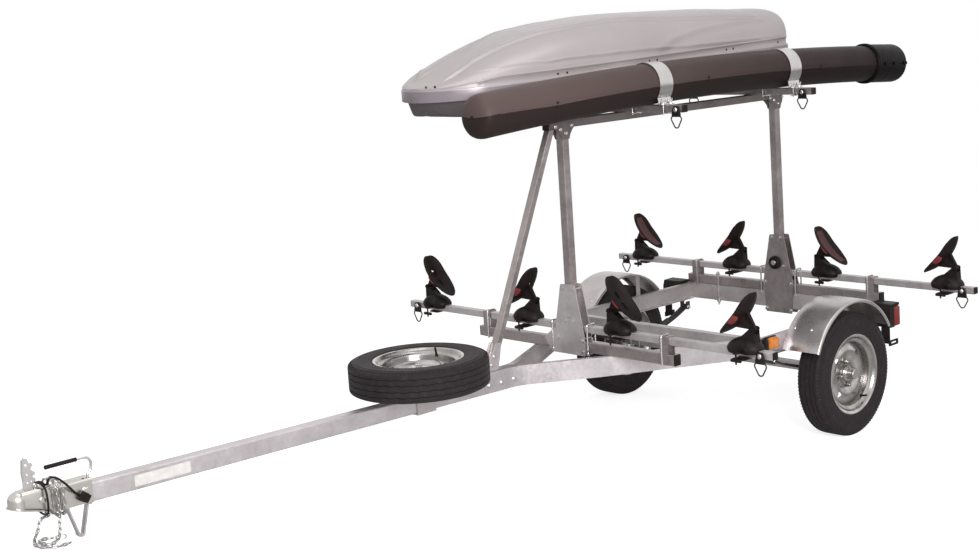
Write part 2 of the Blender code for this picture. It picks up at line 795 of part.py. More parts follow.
def rim_shape(hub):
    """Pressed steel wheel; with a hub it is bored for the axle's spindle."""
    wide = RIM_HALF_WIDTH
    well = RIM_WELL_RADIUS
    thin = RIM_SHEET
    outside = [
        (well - thin, 0.008),
        (well - thin, 0.037),
        (RIM_SEAT_RADIUS - thin, 0.042),
        (RIM_RADIUS, wide),
        (RIM_RADIUS, wide - 0.003),
        (RIM_SEAT_RADIUS, wide - 0.008),
        (well, 0.034),
    ]
    inside = [
        (well, -0.034),
        (RIM_SEAT_RADIUS, 0.008 - wide),
        (RIM_RADIUS, 0.003 - wide),
        (RIM_RADIUS, -wide),
        (RIM_SEAT_RADIUS - thin, -0.042),
        (well - thin, -0.037),
        (well - thin, 0.004),
    ]
    disc_back = [(0.118, 0.010), (0.095, 0.017), (0.060, 0.008)]
    disc_front = [(0.060, 0.012), (0.095, 0.021), (0.118, 0.014)]
    if hub:
        bore = SPINDLE_RADIUS + GAP
        middle = [
            (HUB_RADIUS, 0.008),
            (HUB_RADIUS, -HUB_REACH),
            (bore, -HUB_REACH),
            (bore, HUB_REACH),
            (0.0, HUB_REACH),
        ]
        cap = [
            (0.0, CAP_REACH),
            (CAP_RADIUS - 0.004, CAP_REACH - 0.002),
            (CAP_RADIUS, CAP_REACH - 0.012),
            (CAP_RADIUS, 0.012),
        ]
        return turned(cap + disc_front + outside + inside + disc_back + middle, RIM_SIDES, closed=False)
    middle = [(SPARE_HOLE_RADIUS, 0.008), (SPARE_HOLE_RADIUS, 0.012)]
    return turned(disc_front + outside + inside + disc_back + middle, RIM_SIDES)


def make_wheels(looks, deck):
    for label, side in (("left", 1), ("right", -1)):
        axle = pivot(label + "_wheel_axle", deck, (WHEEL_X, side * WHEEL_Y, WHEEL_Z), (0, -deck_lean(), 0))
        tyre = tyre_shape(math.pi / TYRE_SIDES)
        rim = rim_shape(hub=True)
        if side < 0:
            tyre = mirrored(tyre)
            rim = mirrored(rim)
        add(label + "_tyre", tyre, looks["tyre"], axle)
        add(label + "_wheel_rim", rim, looks["zinc"], axle)
    flat = (math.pi / 2, 0, 0)
    place = (SPARE_X, 0, SPARE_Z)
    add("spare_tyre", tyre_shape(math.pi / TYRE_SIDES), looks["tyre"], deck, place, flat)
    add("spare_rim", rim_shape(hub=False), looks["zinc"], deck, place, flat)


def make_spare_carrier(looks, deck):
    """Clamp round the tongue with a column up to the spare's disc."""
    half = TONGUE_WIDTH / 2 + GAP
    top = tongue_top(SPARE_X + 0.05) + GAP
    bottom = tongue_bottom(SPARE_X - 0.05) - GAP
    sheet = CARRIER_SHEET
    hoop = (
        (half + sheet, bottom - sheet),
        (half + sheet, top + sheet),
        (-half - sheet, top + sheet),
        (-half - sheet, bottom - sheet),
    )
    hollow = ((half, bottom), (half, top), (-half, top), (-half, bottom))
    shape = cut(
        prism(hoop, "x", SPARE_X - 0.045, SPARE_X + 0.045),
        prism(hollow, "x", SPARE_X - 0.05, SPARE_X + 0.05),
    )
    underside = SPARE_Z + 0.008 - GAP
    column = rod((SPARE_X, 0, top + sheet / 2), (SPARE_X, 0, underside), SPARE_COLUMN_RADIUS, 16)
    stud = rod((SPARE_X, 0, underside - 0.004), (SPARE_X, 0, underside + 0.030), 0.008, 8)
    shape = joined(shape, column, stud)
    add("spare_carrier", shape, looks["galvanised"], deck)


def make_running_gear(looks, deck):
    section = rounded_rectangle(AXLE_SIZE, AXLE_SIZE, BAR_CORNER)
    shape = prism(section, "y", -AXLE_LENGTH / 2, AXLE_LENGTH / 2)
    offset = WHEEL_Z - AXLE_Z
    for side in (1, -1):
        start = (0, side * (AXLE_LENGTH / 2 - 0.02), offset)
        end = (0, side * (WHEEL_Y + HUB_REACH - 0.002), offset)
        shape = combine(shape, rod(start, end, SPINDLE_RADIUS, 12))
    add("axle_beam", shape, looks["galvanised"], deck, (WHEEL_X, 0, AXLE_Z))
    seat = AXLE_Z + AXLE_SIZE / 2 + GAP + SPRING_THICKNESS / 2
    rail_under = rail_middle(WHEEL_X) - CHANNEL_HEIGHT / 2 - GAP
    for label, side in (("left", 1), ("right", -1)):
        path = []
        for step in range(9):
            share = step / 8
            x = SPRING_FRONT_X + (SPRING_REAR_X - SPRING_FRONT_X) * share
            sag = abs(2 * share - 1) ** 2
            path.append((x, seat + (SPRING_EYE_Z - seat) * sag))
        low = SPRING_Y - SPRING_WIDTH / 2
        shape = prism(strip_outline(path, SPRING_THICKNESS), "y", low, low + SPRING_WIDTH)
        for x in (SPRING_FRONT_X, SPRING_REAR_X):
            eye = rod((x, low, SPRING_EYE_Z), (x, low + SPRING_WIDTH, SPRING_EYE_Z), SPRING_EYE_RADIUS, 10)
            hanger = block((x - 0.014, low, SPRING_EYE_Z), (x + 0.014, low + SPRING_WIDTH, rail_under))
            shape = joined(shape, eye, hanger)
        if side < 0:
            shape = mirrored(shape)
        add(label + "_leaf_spring", shape, looks["black_steel"], deck)


def fender_shape():
    start = math.pi / 2 + FENDER_REAR_ANGLE
    end = math.pi / 2 - FENDER_FRONT_ANGLE
    centre = (FENDER_X, FENDER_Z)
    arch = arc(centre, FENDER_RADIUS, start, end, FENDER_STEPS)
    shape = prism(strip_outline(arch, FENDER_SHEET), "y", FENDER_INNER_Y, FENDER_OUTER_Y)
    lip = arc(centre, FENDER_RADIUS - LIP_DEPTH / 2, start, end, FENDER_STEPS)
    for edge in (FENDER_INNER_Y, FENDER_OUTER_Y - FENDER_SHEET):
        bead = prism(strip_outline(lip, LIP_DEPTH), "y", edge, edge + FENDER_SHEET)
        shape = combine(shape, bead)
    rail_low = rail_middle(WHEEL_X) - CHANNEL_HEIGHT / 2 + 0.010
    for x in STRUT_XS:
        across = abs(x - FENDER_X) + STRUT_WIDTH / 2
        under = FENDER_Z + math.sqrt(FENDER_RADIUS ** 2 - across ** 2)
        low = (x - STRUT_WIDTH / 2, FENDER_INNER_Y, rail_low)
        high = (x + STRUT_WIDTH / 2, FENDER_INNER_Y + FENDER_SHEET + 0.001, under)
        shape = combine(shape, block(low, high))
    return shape


def lamp_shape():
    """Tail light housing, bevelled in front, bolted to the outside of its rail."""
    outline = (
        (LAMP_REAR_X, LAMP_BOTTOM),
        (LAMP_FRONT_X, LAMP_BOTTOM),
        (LAMP_FRONT_X, LAMP_TOP - 0.030),
        (LAMP_FRONT_X - 0.010, LAMP_TOP),
        (LAMP_REAR_X, LAMP_TOP),
    )
    return prism(outline, "y", LAMP_INNER_Y, LAMP_OUTER_Y)


def make_fenders(looks, deck):
    for label, side in (("left", 1), ("right", -1)):
        fender = fender_shape()
        lamp = lamp_shape()
        if side < 0:
            fender = mirrored(fender)
            lamp = mirrored(lamp)
        add(label + "_fender", fender, looks["galvanised"], deck)
        add(label + "_tail_light", lamp, looks["lamp"], deck)


def ball(radius):
    """A globe where the tow ball sits."""
    steps = BALL_SIDES // 2
    profile = [(0.0, -radius)]
    for step in range(1, steps):
        angle = math.pi * step / steps
        profile.append((radius * math.sin(angle), -radius * math.cos(angle)))
    profile.append((0.0, radius))
    shape = turned(profile, BALL_SIDES, closed=False)
    bmesh.ops.translate(shape, vec=(BALL_X, 0, BALL_Z), verts=shape.verts)
    return shape


def make_coupler(looks, deck):
    half = TONGUE_WIDTH / 2 + GAP
    outer = half + SLEEVE_SHEET
    sleeve = (
        (outer, SLEEVE_BOTTOM),
        (outer, SLEEVE_TOP),
        (-outer, SLEEVE_TOP),
        (-outer, SLEEVE_BOTTOM),
        (-half, SLEEVE_BOTTOM),
        (-half, SLEEVE_TOP - SLEEVE_SHEET),
        (half, SLEEVE_TOP - SLEEVE_SHEET),
        (half, SLEEVE_BOTTOM),
    )
    shape = prism(sleeve, "x", SLEEVE_REAR_X, SLEEVE_FRONT_X - 0.020)
    body = (
        (SLEEVE_FRONT_X - 0.050, SLEEVE_BOTTOM + 0.006),
        (SLEEVE_FRONT_X - 0.050, SLEEVE_TOP),
        (SLEEVE_FRONT_X, NOSE_TOP),
        (BALL_X - 0.020, NOSE_TOP),
        (BALL_X + 0.006, NOSE_TOP),
        (BALL_X + 0.006, -0.107),
        (SLEEVE_FRONT_X, -0.128),
    )
    shape = combine(shape, prism(body, "y", -outer + 0.001, outer - 0.001))
    shape = combine(shape, ball(DOME_RADIUS))
    lip = [(SLEEVE_FRONT_X - 0.004, outer + 0.002), (SLEEVE_FRONT_X - 0.004, -outer - 0.002)]
    lip += arc((BALL_X, 0), DOME_RADIUS + 0.003, -math.pi / 2, math.pi / 2, 10)
    slope = math.atan2(0.029, 0.106)
    plate = prism(lip, "z", -0.002, 0.002)
    hinge = Vector((SLEEVE_FRONT_X, 0, -0.127))
    bmesh.ops.translate(plate, vec=(-SLEEVE_FRONT_X, 0, 0), verts=plate.verts)
    bmesh.ops.rotate(plate, cent=(0, 0, 0), matrix=Matrix.Rotation(-slope, 3, "Y"), verts=plate.verts)
    bmesh.ops.translate(plate, vec=hinge, verts=plate.verts)
    shape = combine(shape, plate)
    throat = rod((BALL_X, 0, BALL_Z - 0.06), (BALL_X, 0, BALL_Z), BALL_RADIUS - 0.002, BALL_SIDES)
    shape = cut(shape, throat, ball(BALL_RADIUS))
    inner = LATCH_SHEET / 2 + GAP
    for side in (1, -1):
        low = min(side * inner, side * (inner + 0.003))
        ear = block((LATCH_X - 0.006, low, NOSE_TOP - 0.002), (LATCH_X + 0.006, low + 0.003, LATCH_Z + 0.005))
        shape = combine(shape, ear)
    pin = rod((LATCH_X, -inner - 0.004, LATCH_Z), (LATCH_X, inner + 0.004, LATCH_Z), LATCH_PIN_RADIUS, 8)
    shape = combine(shape, pin)
    add("coupler_body", shape, looks["zinc"], deck)


def make_latch(looks, deck):
    """Upright latch plate with a scalloped back edge."""
    hinge = pivot("latch_pivot", deck, (LATCH_X, 0, LATCH_Z))
    outline = [(0.040, -0.0045), (0.040, 0.000), (0.032, 0.0945), (0.018, 0.0885)]
    outline += [(0.014, 0.074), (0.006, 0.074), (0.002, 0.066), (0.010, 0.054)]
    for middle in (0.040, 0.020):
        outline += [(0.004, middle + 0.008), (-0.003, middle + 0.003)]
        outline += [(-0.003, middle - 0.005), (0.006, middle - 0.010)]
    outline += [(-0.004, 0.006), (-0.005, 0.000), (-0.0035, -0.0045)]
    shape = prism(outline, "y", -LATCH_SHEET / 2, LATCH_SHEET / 2)
    shape = cut(shape, rod((0, -0.01, 0), (0, 0.01, 0), LATCH_PIN_RADIUS + GAP, 8))
    for x, z in ((0.023, 0.040), (0.023, 0.014), (0.010, 0.016)):
        shape = cut(shape, rod((x, -0.01, z), (x, 0.01, z), 0.003, 8))
    add("coupler_latch", shape, looks["zinc"], hinge)


def make_handle(looks, deck):
    grip_z = 0.004
    bend = arc((2.206, grip_z - 0.025), 0.025, math.pi / 2, math.pi, 4)
    path = [(2.334, grip_z), (2.228, grip_z), (2.2275, grip_z), (2.215, grip_z)]
    path += bend
    path += [(2.184, -0.040), (2.196, -0.050), (2.197, -0.056), (2.197, SLEEVE_TOP + GAP)]
    points = [(x, HANDLE_Y, z) for x, z in path]
    radii = [HANDLE_GRIP_RADIUS] * 2 + [HANDLE_ROD_RADIUS] * (len(path) - 2)
    add("lift_handle", tube(points, radii, 10), looks["plastic"], deck)


def make_foot(looks, deck):
    """Flat bar bent to a V that parks the tongue clear of the ground."""
    seat = tongue_bottom(2.180) - GAP - FOOT_SHEET / 2
    bend = FOOT_BEND_RADIUS - FOOT_SHEET / 2
    path = [(2.2785, seat), (2.269, seat), (2.264, seat - 0.012)]
    path += arc((FOOT_X, FOOT_Z), bend, math.radians(15), math.radians(-190), 8)
    path += [(2.202, seat - 0.010), (2.196, seat), (2.180, seat)]
    shape = prism(strip_outline(path, FOOT_SHEET), "y", -FOOT_WIDTH / 2, FOOT_WIDTH / 2)
    add("tongue_stand", shape, looks["galvanised"], deck)


def make_curve(name, points, radius, finish, parent, sides=2):
    """A free cord, chain or cable as a round tube."""
    curve = bpy.data.curves.new(name, "CURVE")
    curve.dimensions = "3D"
    curve.bevel_depth = radius
    curve.bevel_resolution = sides
    curve.use_fill_caps = True
    line = curve.splines.new("POLY")
    line.points.add(len(points) - 1)
    for spot, point in zip(line.points, points):
        spot.co = (*point, 1.0)
    curve.materials.append(finish)
    piece = bpy.data.objects.new(name, curve)
    piece.parent = parent
    bpy.context.scene.collection.objects.link(piece)
    return piece


def smooth_route(points, spacing):
    """Even points on a smooth curve through the route's own points."""
    spots = [Vector(point) for point in points]
    spots = [2 * spots[0] - spots[1]] + spots + [2 * spots[-1] - spots[-2]]
    fine = []
    for before, start, end, after in zip(spots, spots[1:], spots[2:], spots[3:]):
        for step in range(20):
            t = step / 20
            fine.append(0.5 * (2 * start + (end - before) * t
                               + (2 * before - 5 * start + 4 * end - after) * t * t
                               + (3 * start - before - 3 * end + after) * t ** 3))
    fine.append(spots[-2])
    route = [fine[0]]
    travelled = 0.0
    for before, here in zip(fine, fine[1:]):
        travelled += (here - before).length
        if travelled >= spacing:
            route.append(here)
            travelled = 0.0
    if (route[-1] - fine[-1]).length < spacing / 2:
        route.pop()
    route.append(fine[-1])
    return route


def chain_route():
    """Up from a pile, round the coupler's sleeve, and down to a second pile."""
    def on_floor(x, y):
        return (x, y, floor_height(x) + CHAIN_RADIUS + CHAIN_LIFT)

    start = [on_floor(2.300, 0.070), on_floor(2.345, 0.085), on_floor(2.385, 0.065), on_floor(2.395, 0.030)]
    start += [(2.385, 0.008, floor_height(2.385) + 0.022), (2.366, -0.004, -0.190), (2.352, -0.010, -0.160)]
    wraps = []
    reach_y = TONGUE_WIDTH / 2 + SLEEVE_SHEET + CHAIN_RADIUS + CHAIN_SLACK
    reach_z = (NOSE_TOP - SLEEVE_BOTTOM) / 2 + CHAIN_RADIUS + CHAIN_SLACK
    middle = (NOSE_TOP + SLEEVE_BOTTOM) / 2
    steps = 12
    for step in range(steps * CHAIN_WRAPS + 1):
        angle = -math.pi / 2 - 2 * math.pi * step / steps
        across = math.copysign(min(abs(math.cos(angle)) * 1.35, 1.0), math.cos(angle))
        up = math.copysign(min(abs(math.sin(angle)) * 1.35, 1.0), math.sin(angle))
        x = CHAIN_WRAP_X + CHAIN_WRAP_PITCH * (CHAIN_WRAPS / 2 - step / steps)
        wraps.append((x, reach_y * across, middle + reach_z * up))
    end = [(2.300, 0.010, -0.175), (2.305, 0.016, -0.205)]
    end += [(2.318, 0.030, floor_height(2.318) + 0.016), on_floor(2.345, 0.045), on_floor(2.368, 0.036)]
    end += [on_floor(2.372, 0.006), on_floor(2.350, -0.018), on_floor(2.312, -0.012)]
    return start + wraps + end


def cable_route():
    """Twice round the coupler behind the latch, then over the chain to the plug."""
    loops = []
    reach_y = 0.046
    reach_z = 0.050
    middle = -0.093
    steps = 12
    start_angle = math.radians(-150)
    for step in range(steps + 6):
        angle = start_angle - 2 * math.pi * step / steps
        x = CABLE_LOOP_X + CABLE_LOOP_PITCH * (0.5 - step / steps)
        across = math.copysign(abs(math.cos(angle)) ** 0.65, math.cos(angle))
        up = math.copysign(abs(math.sin(angle)) ** 0.65, math.sin(angle))
        loops.append((x, reach_y * across, middle + reach_z * up))
    tail = [(2.332, 0.038, -0.024), (2.316, 0.053, -0.026), (2.298, 0.064, -0.045)]
    tail += [(2.280, 0.063, -0.067), (2.262, 0.050, -0.086)]
    return loops, tail


def make_hitch_cords(looks, deck):
    chain = smooth_route(chain_route(), 0.022)
    make_curve("safety_chain", chain, CHAIN_RADIUS, looks["zinc"], deck, 2)
    place = Vector(PLUG_PLACE)
    turn = Matrix.Rotation(PLUG_TURN, 3, "Y")
    front = place + turn @ Vector((PLUG_SIZE[0] / 2 + GAP, 0, 0))
    ahead = place + turn @ Vector((PLUG_SIZE[0] / 2 + 0.010, 0, 0))
    loops, tail = cable_route()
    cable = smooth_route(loops + tail + [tuple(ahead)], 0.0125) + [front]
    make_curve("harness_cable", cable, CABLE_RADIUS, looks["plastic"], deck, 2)
    half = [size / 2 for size in PLUG_SIZE]
    shape = block([-size for size in half], half)
    piece = add("harness_plug", shape, looks["plastic"], deck, PLUG_PLACE, (0, PLUG_TURN, 0))
    bevel = piece.modifiers.new("edges", "BEVEL")
    bevel.width = 0.002
    bevel.segments = 1


def saddle_places():
    """Centres across a load bar, and which way each pad faces."""
    return tuple(zip(SADDLE_YS, (-1, 1, -1, 1)))


def saddle_base():
    """Domed clamp that straddles the load bar, with cheeks and a pin for the pad."""
    levels = ((SADDLE_SKIRT, 0.94), (0.018, 1.00), (0.036, 0.86), (0.050, 0.58), (SADDLE_TOP, 0.25))
    rings = []
    for height, share in levels:
        ring = []
        for step in range(12):
            angle = 2 * math.pi * step / 12
            lobe = 1 - 0.10 * math.cos(angle) ** 4
            x = SADDLE_HALF_WIDTH * share * lobe * math.cos(angle)
            y = SADDLE_HALF_LENGTH * share * math.sin(angle)
            ring.append((x, y, height))
        rings.append(ring)
    shape = loft(rings)
    slot = BAR_SIZE / 2 + GAP
    shape = cut(shape, block((-slot, -0.1, SADDLE_SKIRT - 0.01), (slot, 0.1, slot)))
    cheek = [(-0.010, 0.045), (0.058, 0.020)]
    cheek += arc((PIVOT_OUT, PIVOT_UP), 0.0095, math.radians(10), math.radians(170), 3)
    width = CHEEK_GAP / 2 + CHEEK_SHEET
    neck = prism(cheek, "x", -width, width)
    neck = cut(neck, block((-CHEEK_GAP / 2, -0.1, PIVOT_UP - 0.0125), (CHEEK_GAP / 2, 0.1, 0.2)))
    pin = rod((-width, PIVOT_OUT, PIVOT_UP), (width, PIVOT_OUT, PIVOT_UP), PIVOT_RADIUS, 6)
    plate = block((-slot - 0.012, -0.026, -slot - 0.007), (KNOB_X + 0.008, 0.026, -slot))
    stem = rod((KNOB_X, 0, 0.008), (KNOB_X, 0, KNOB_Z + 0.002), 0.0035, 6)
    knob = rod((KNOB_X, -0.024, KNOB_Z), (KNOB_X, 0.024, KNOB_Z), 0.007, 6)
    return joined(shape, neck, pin, plate, stem, knob)


def pad_point(t):
    """Middle line of a pad, from its top to its tip, about the pivot."""
    y = (1 - t) ** 2 * PAD_TOP[0] + 2 * t * (1 - t) * PAD_BELLY[0] + t * t * PAD_TIP[0]
    z = (1 - t) ** 2 * PAD_TOP[1] + 2 * t * (1 - t) * PAD_BELLY[1] + t * t * PAD_TIP[1]
    return Vector((y - PIVOT_OUT, z - PIVOT_UP))


def saddle_pad():
    """Curved pad with a slot on each side of its bridge, and a lug round the pivot pin."""
    steps = (0.0, 0.14, 0.31, 0.48, 0.52, 0.68, 0.86, 1.0)
    widths = (0.55, 0.86, 0.98, 1.0, 1.0, 0.96, 0.78, 0.48)
    columns = (-1.0, -0.17, 0.17, 1.0)
    mesh = bmesh.new()
    sheets = []
    for side in (1, -1):
        rows = []
        for t, width in zip(steps, widths):
            ahead = (pad_point(min(t + 0.01, 1)) - pad_point(max(t - 0.01, 0))).normalized()
            normal = Vector((-ahead.y, ahead.x))
            thickness = PAD_THICKNESS * (0.55 + 0.45 * math.sin(math.pi * t))
            middle = pad_point(t) + normal * side * thickness / 2
            rows.append([mesh.verts.new((PAD_HALF_WIDTH * width * column, *middle)) for column in columns])
        sheets.append(rows)
    front, back = sheets
    last_row, last_column = len(steps) - 1, len(columns) - 1

    def filled(row, column):
        inside = 0 <= row < last_row and 0 <= column < last_column
        return inside and not (column == 1 and row in (2, 4))

    for row in range(last_row):
        for column in range(last_column):
            if not filled(row, column):
                continue
            corners = ((row, column), (row, column + 1), (row + 1, column + 1), (row + 1, column))
            mesh.faces.new([front[r][c] for r, c in corners])
            mesh.faces.new([back[r][c] for r, c in corners[::-1]])
            beyond = ((row - 1, column), (row, column + 1), (row + 1, column), (row, column - 1))
            for index, (r, c) in enumerate(beyond):
                if not filled(r, c):
                    a, b = corners[index], corners[(index + 1) % 4]
                    mesh.faces.new((front[b[0]][b[1]], front[a[0]][a[1]], back[a[0]][a[1]], back[b[0]][b[1]]))
    bmesh.ops.recalc_face_normals(mesh, faces=mesh.faces)
    lug_half = CHEEK_GAP / 2 - 2 * GAP
    spot = pad_point(0.5)
    lug = arc((0, 0), 0.0085, math.radians(-170), math.radians(0), 4)
    lug += [(spot[0] + 0.014, spot[1] + 0.010), (spot[0] - 0.010, spot[1] - 0.010)]
    shape = combine(mesh, prism(lug, "x", -lug_half, lug_half))
    return cut(shape, rod((-0.02, 0, 0), (0.02, 0, 0), (PIVOT_RADIUS + GAP) / math.cos(math.pi / 6), 6))


def make_saddles(looks, deck):
    for label, x in (("front", FRONT_X), ("rear", REAR_X)):
        for number, (y, facing) in enumerate(saddle_places(), 1):
            name = f"{label}_{number}"
            base = saddle_base()
            pad = saddle_pad()
            if facing < 0:
                base = mirrored(base)
                pad = mirrored(pad)
            add("saddle_base_" + name, base, looks["plastic"], deck, (x, y, 0))
            hinge = pivot("saddle_pivot_" + name, deck, (x, y + facing * PIVOT_OUT, PIVOT_UP))
            add("saddle_pad_" + name, pad, looks["plastic"], hinge)


def make_rod_tube(looks, deck):
    """Long tube with a rounded nose, open at the back inside its cap."""
    nose = TUBE_NOSE_X - TUBE_NOSE_LENGTH
    spots = [(TUBE_END_X, 1.0), (-1.550, 1.0), (TOP_BAR_X[1], 1.0), (TUBE_CREST_X, 1.0), (TOP_BAR_X[0], 1.0)]
    spots += [(0.020, 1.0), (0.360, 1.0), (nose, 1.0)]
    for step in (1, 2, 3):
        angle = step * math.pi / 8
        spots.append((nose + TUBE_NOSE_LENGTH * math.sin(angle), math.cos(angle) ** 0.8))
    spots.append((TUBE_NOSE_X, 0.25))

    def ring(x, radius):
        middle = tube_middle(x)
        points = []
        for step in range(TUBE_SIDES):
            angle = 2 * math.pi * (step + 0.5) / TUBE_SIDES
            points.append((x, TUBE_Y + radius * math.cos(angle), middle + radius * math.sin(angle)))
        return points

    flat = math.cos(math.pi / TUBE_SIDES)
    outer = [ring(x, TUBE_RADIUS * share / flat) for x, share in spots]
    inner = []
    for x, share in spots:
        inner.append(ring(x - (TUBE_WALL if share < 1 else 0), (TUBE_RADIUS - TUBE_WALL) * share))
    add("rod_tube", loft(outer[::-1] + inner), looks["tube"], deck)
    grip_x = (CAP_FRONT_X + TUBE_END_X) / 2
    slope = (tube_middle(grip_x + 0.05) - tube_middle(grip_x - 0.05)) / 0.1
    bore = TUBE_RADIUS / flat + CAP_FIT
    front = CAP_FRONT_X - grip_x
    end = CAP_END_X - grip_x
    ring_x = CAP_RING_X - grip_x
    profile = [
        (bore, front),
        (bore + CAP_WALL, front),
        (bore + CAP_WALL, ring_x + 0.012),
        (bore + CAP_WALL + 0.004, ring_x + 0.008),
        (bore + CAP_WALL + 0.004, ring_x - 0.008),
        (bore + CAP_WALL, ring_x - 0.012),
        (bore + CAP_WALL, end + 0.030),
        (bore - 0.012, end + 0.006),
        (0.014, end + 0.004),
        (0.012, end),
        (0.0, end),
    ]
    hollow = [(0.0, end + 0.012), (bore - 0.012, end + 0.014), (bore, end + 0.034)]
    shape = turned(hollow + profile, TUBE_SIDES, closed=False)
    lie_along = Matrix.Rotation(math.radians(-90), 3, "Z")
    bmesh.ops.rotate(shape, cent=(0, 0, 0), matrix=lie_along, verts=shape.verts)
    slide = pivot("cap_slide", deck, (grip_x, TUBE_Y, tube_middle(grip_x)), (0, -math.atan(slope), 0))
    add("rod_tube_cap", shape, looks["tube"], slide)


def make_straps(looks, deck):
    """Band over the rod tube, footed on each top bar."""
    for label, x in zip(("front", "rear"), TOP_BAR_X):
        centre = (TUBE_Y, tube_middle(x))
        radius = TUBE_RADIUS / math.cos(math.pi / TUBE_SIDES) + STRAP_FIT + STRAP_SHEET / 2
        foot = top_bar_top() + GAP + STRAP_SHEET / 2
        steps = 16
        sweep = math.radians(256)
        start = (math.pi - sweep) / 2
        over = arc(centre, radius / math.cos(sweep / steps / 2), start, start + sweep, steps)
        near = [(TUBE_Y + STRAP_REACH + STRAP_FOOT, foot), (TUBE_Y + STRAP_REACH, foot)]
        far = [(TUBE_Y - STRAP_REACH, foot), (TUBE_Y - STRAP_REACH - STRAP_FOOT, foot)]
        outline = strip_outline(near + over + far, STRAP_SHEET)
        shape = prism(outline, "x", -STRAP_WIDTH / 2, STRAP_WIDTH / 2)
        add(label + "_tube_strap", shape, looks["zinc"], deck, (x, 0, 0))


def box_split(x):
    """Height of the seam between the box's lid and base."""
    return BOX_SPLIT_Z + BOX_TILT * x


def lid_ring(station, inset):
    """Section of the lid's shell, from one lip over the crown to the other."""
    x, half, top, _, roundness = station
    half -= inset
    top -= inset
    lip = box_split(x) + BOX_LIP
    rise = max(top - lip, 0.002)
    points = [(x, BOX_Y - half, box_split(x))]
    steps = 2 * BOX_CORNER_STEPS
    for step in range(steps + 1):
        angle = math.pi * (1 - step / steps)
        across = math.copysign(abs(math.cos(angle)) ** roundness, math.cos(angle))
        up = math.sin(angle) ** (1.2 * roundness) if 0 < step < steps else 0.0
        points.append((x, BOX_Y + (half - 0.004) * across, lip + rise * up))
    points.append((x, BOX_Y + half, box_split(x)))
    return points


def shell(outer_rings, inner_rings):
    """Closed wall between two open skins that share a rim."""
    mesh = bmesh.new()
    skins = []
    for rings in (outer_rings, inner_rings):
        skins.append([[mesh.verts.new(point) for point in ring] for ring in rings])
    rows = len(outer_rings)
    for skin in skins:
        for here, beyond in zip(skin, skin[1:]):
            for column in range(len(here) - 1):
                after = column + 1
                mesh.faces.new((here[column], here[after], beyond[after], beyond[column]))
        mesh.faces.new(skin[0])
        mesh.faces.new(skin[-1])
    outer, inner = skins
    edge = [outer[row][0] for row in range(rows)] + [outer[row][-1] for row in range(rows - 1, -1, -1)]
    inside = [inner[row][0] for row in range(rows)] + [inner[row][-1] for row in range(rows - 1, -1, -1)]
    for index in range(len(edge)):
        after = (index + 1) % len(edge)
        mesh.faces.new((edge[index], edge[after], inside[after], inside[index]))
    bmesh.ops.recalc_face_normals(mesh, faces=mesh.faces)
    return mesh


def base_ring(station, inset):
    """Section of the base tub, from one rim under the floor to the other."""
    x, half, _, rise, _ = station
    half = half - BASE_INSET - inset
    bottom = top_bar_top() + GAP + rise + inset
    rim = box_split(x) - GAP
    shoulder = rim - 0.35 * (rim - bottom)
    points = []
    for share, height in ((-1, rim), (-0.985, shoulder), (-0.93, bottom + 0.012), (-0.86, bottom)):
        points.append((x, BOX_Y + half * share, height))
    return points + [(px, 2 * BOX_Y - py, pz) for px, py, pz in points[::-1]]


def pulled_in(x, wall):
    """Inner skins stop short of the outer ones at both ends."""
    ends = BOX_STATIONS[0][0], BOX_STATIONS[-1][0]
    return min(max(x, ends[1] + wall), ends[0] - wall)


def make_cargo_box(looks, deck):
    inner_stations = [(pulled_in(s[0], BOX_WALL), *s[1:]) for s in BOX_STATIONS]
    base = shell([base_ring(s, 0) for s in BOX_STATIONS], [base_ring(s, BOX_WALL) for s in inner_stations])
    add("cargo_box_base", base, looks["box_base"], deck)
    hinge_y = BOX_Y - max(s[1] for s in BOX_STATIONS)
    place = (0, hinge_y, BOX_SPLIT_Z)
    lid = shell([lid_ring(s, 0) for s in BOX_STATIONS], [lid_ring(s, BOX_WALL) for s in inner_stations])
    lean = -math.atan(BOX_TILT)
    bmesh.ops.translate(lid, vec=[-value for value in place], verts=lid.verts)
    bmesh.ops.rotate(lid, cent=(0, 0, 0), matrix=Matrix.Rotation(-lean, 3, "Y"), verts=lid.verts)
    hinge = pivot("lid_hinge", deck, place, (0, lean, 0))
    add("cargo_box_lid", lid, looks["box_lid"], hinge)


def stand_on_floor(deck):
    """Put the middle of the model's underside on the world origin."""
    bpy.context.view_layer.update()
    graph = bpy.context.evaluated_depsgraph_get()
    corners = []
    for piece in bpy.context.scene.objects:
        if piece.type != "MESH":
            continue
        shown = piece.evaluated_get(graph)
        corners += [shown.matrix_world @ vertex.co for vertex in shown.data.vertices]
    low = [min(corner[axis] for corner in corners) for axis in range(3)]
    high = [max(corner[axis] for corner in corners) for axis in range(3)]
    deck.location = (-(low[0] + high[0]) / 2, -(low[1] + high[1]) / 2, -low[2])


def main():
    for thing in list(bpy.data.objects):
        bpy.data.objects.remove(thing)
    looks = finishes()
    deck = pivot("deck", None, (0, 0, 0), (0, deck_lean(), 0))
    make_tongue(looks, deck)
    make_frame_rails(looks, deck)
    make_crossmembers(looks, deck)
    make_stations(looks, deck)
    make_brace(looks, deck)
    make_top_rail(looks, deck)
    make_wheels(looks, deck)
    make_spare_carrier(looks, deck)
    make_running_gear(looks, deck)
    make_fenders(looks, deck)
    make_coupler(looks, deck)
    make_latch(looks, deck)
    make_handle(looks, deck)
    make_foot(looks, deck)
    make_hitch_cords(looks, deck)
    make_saddles(looks, deck)
    make_rod_tube(looks, deck)
    make_straps(looks, deck)
    make_cargo_box(looks, deck)
    stand_on_floor(deck)


main()
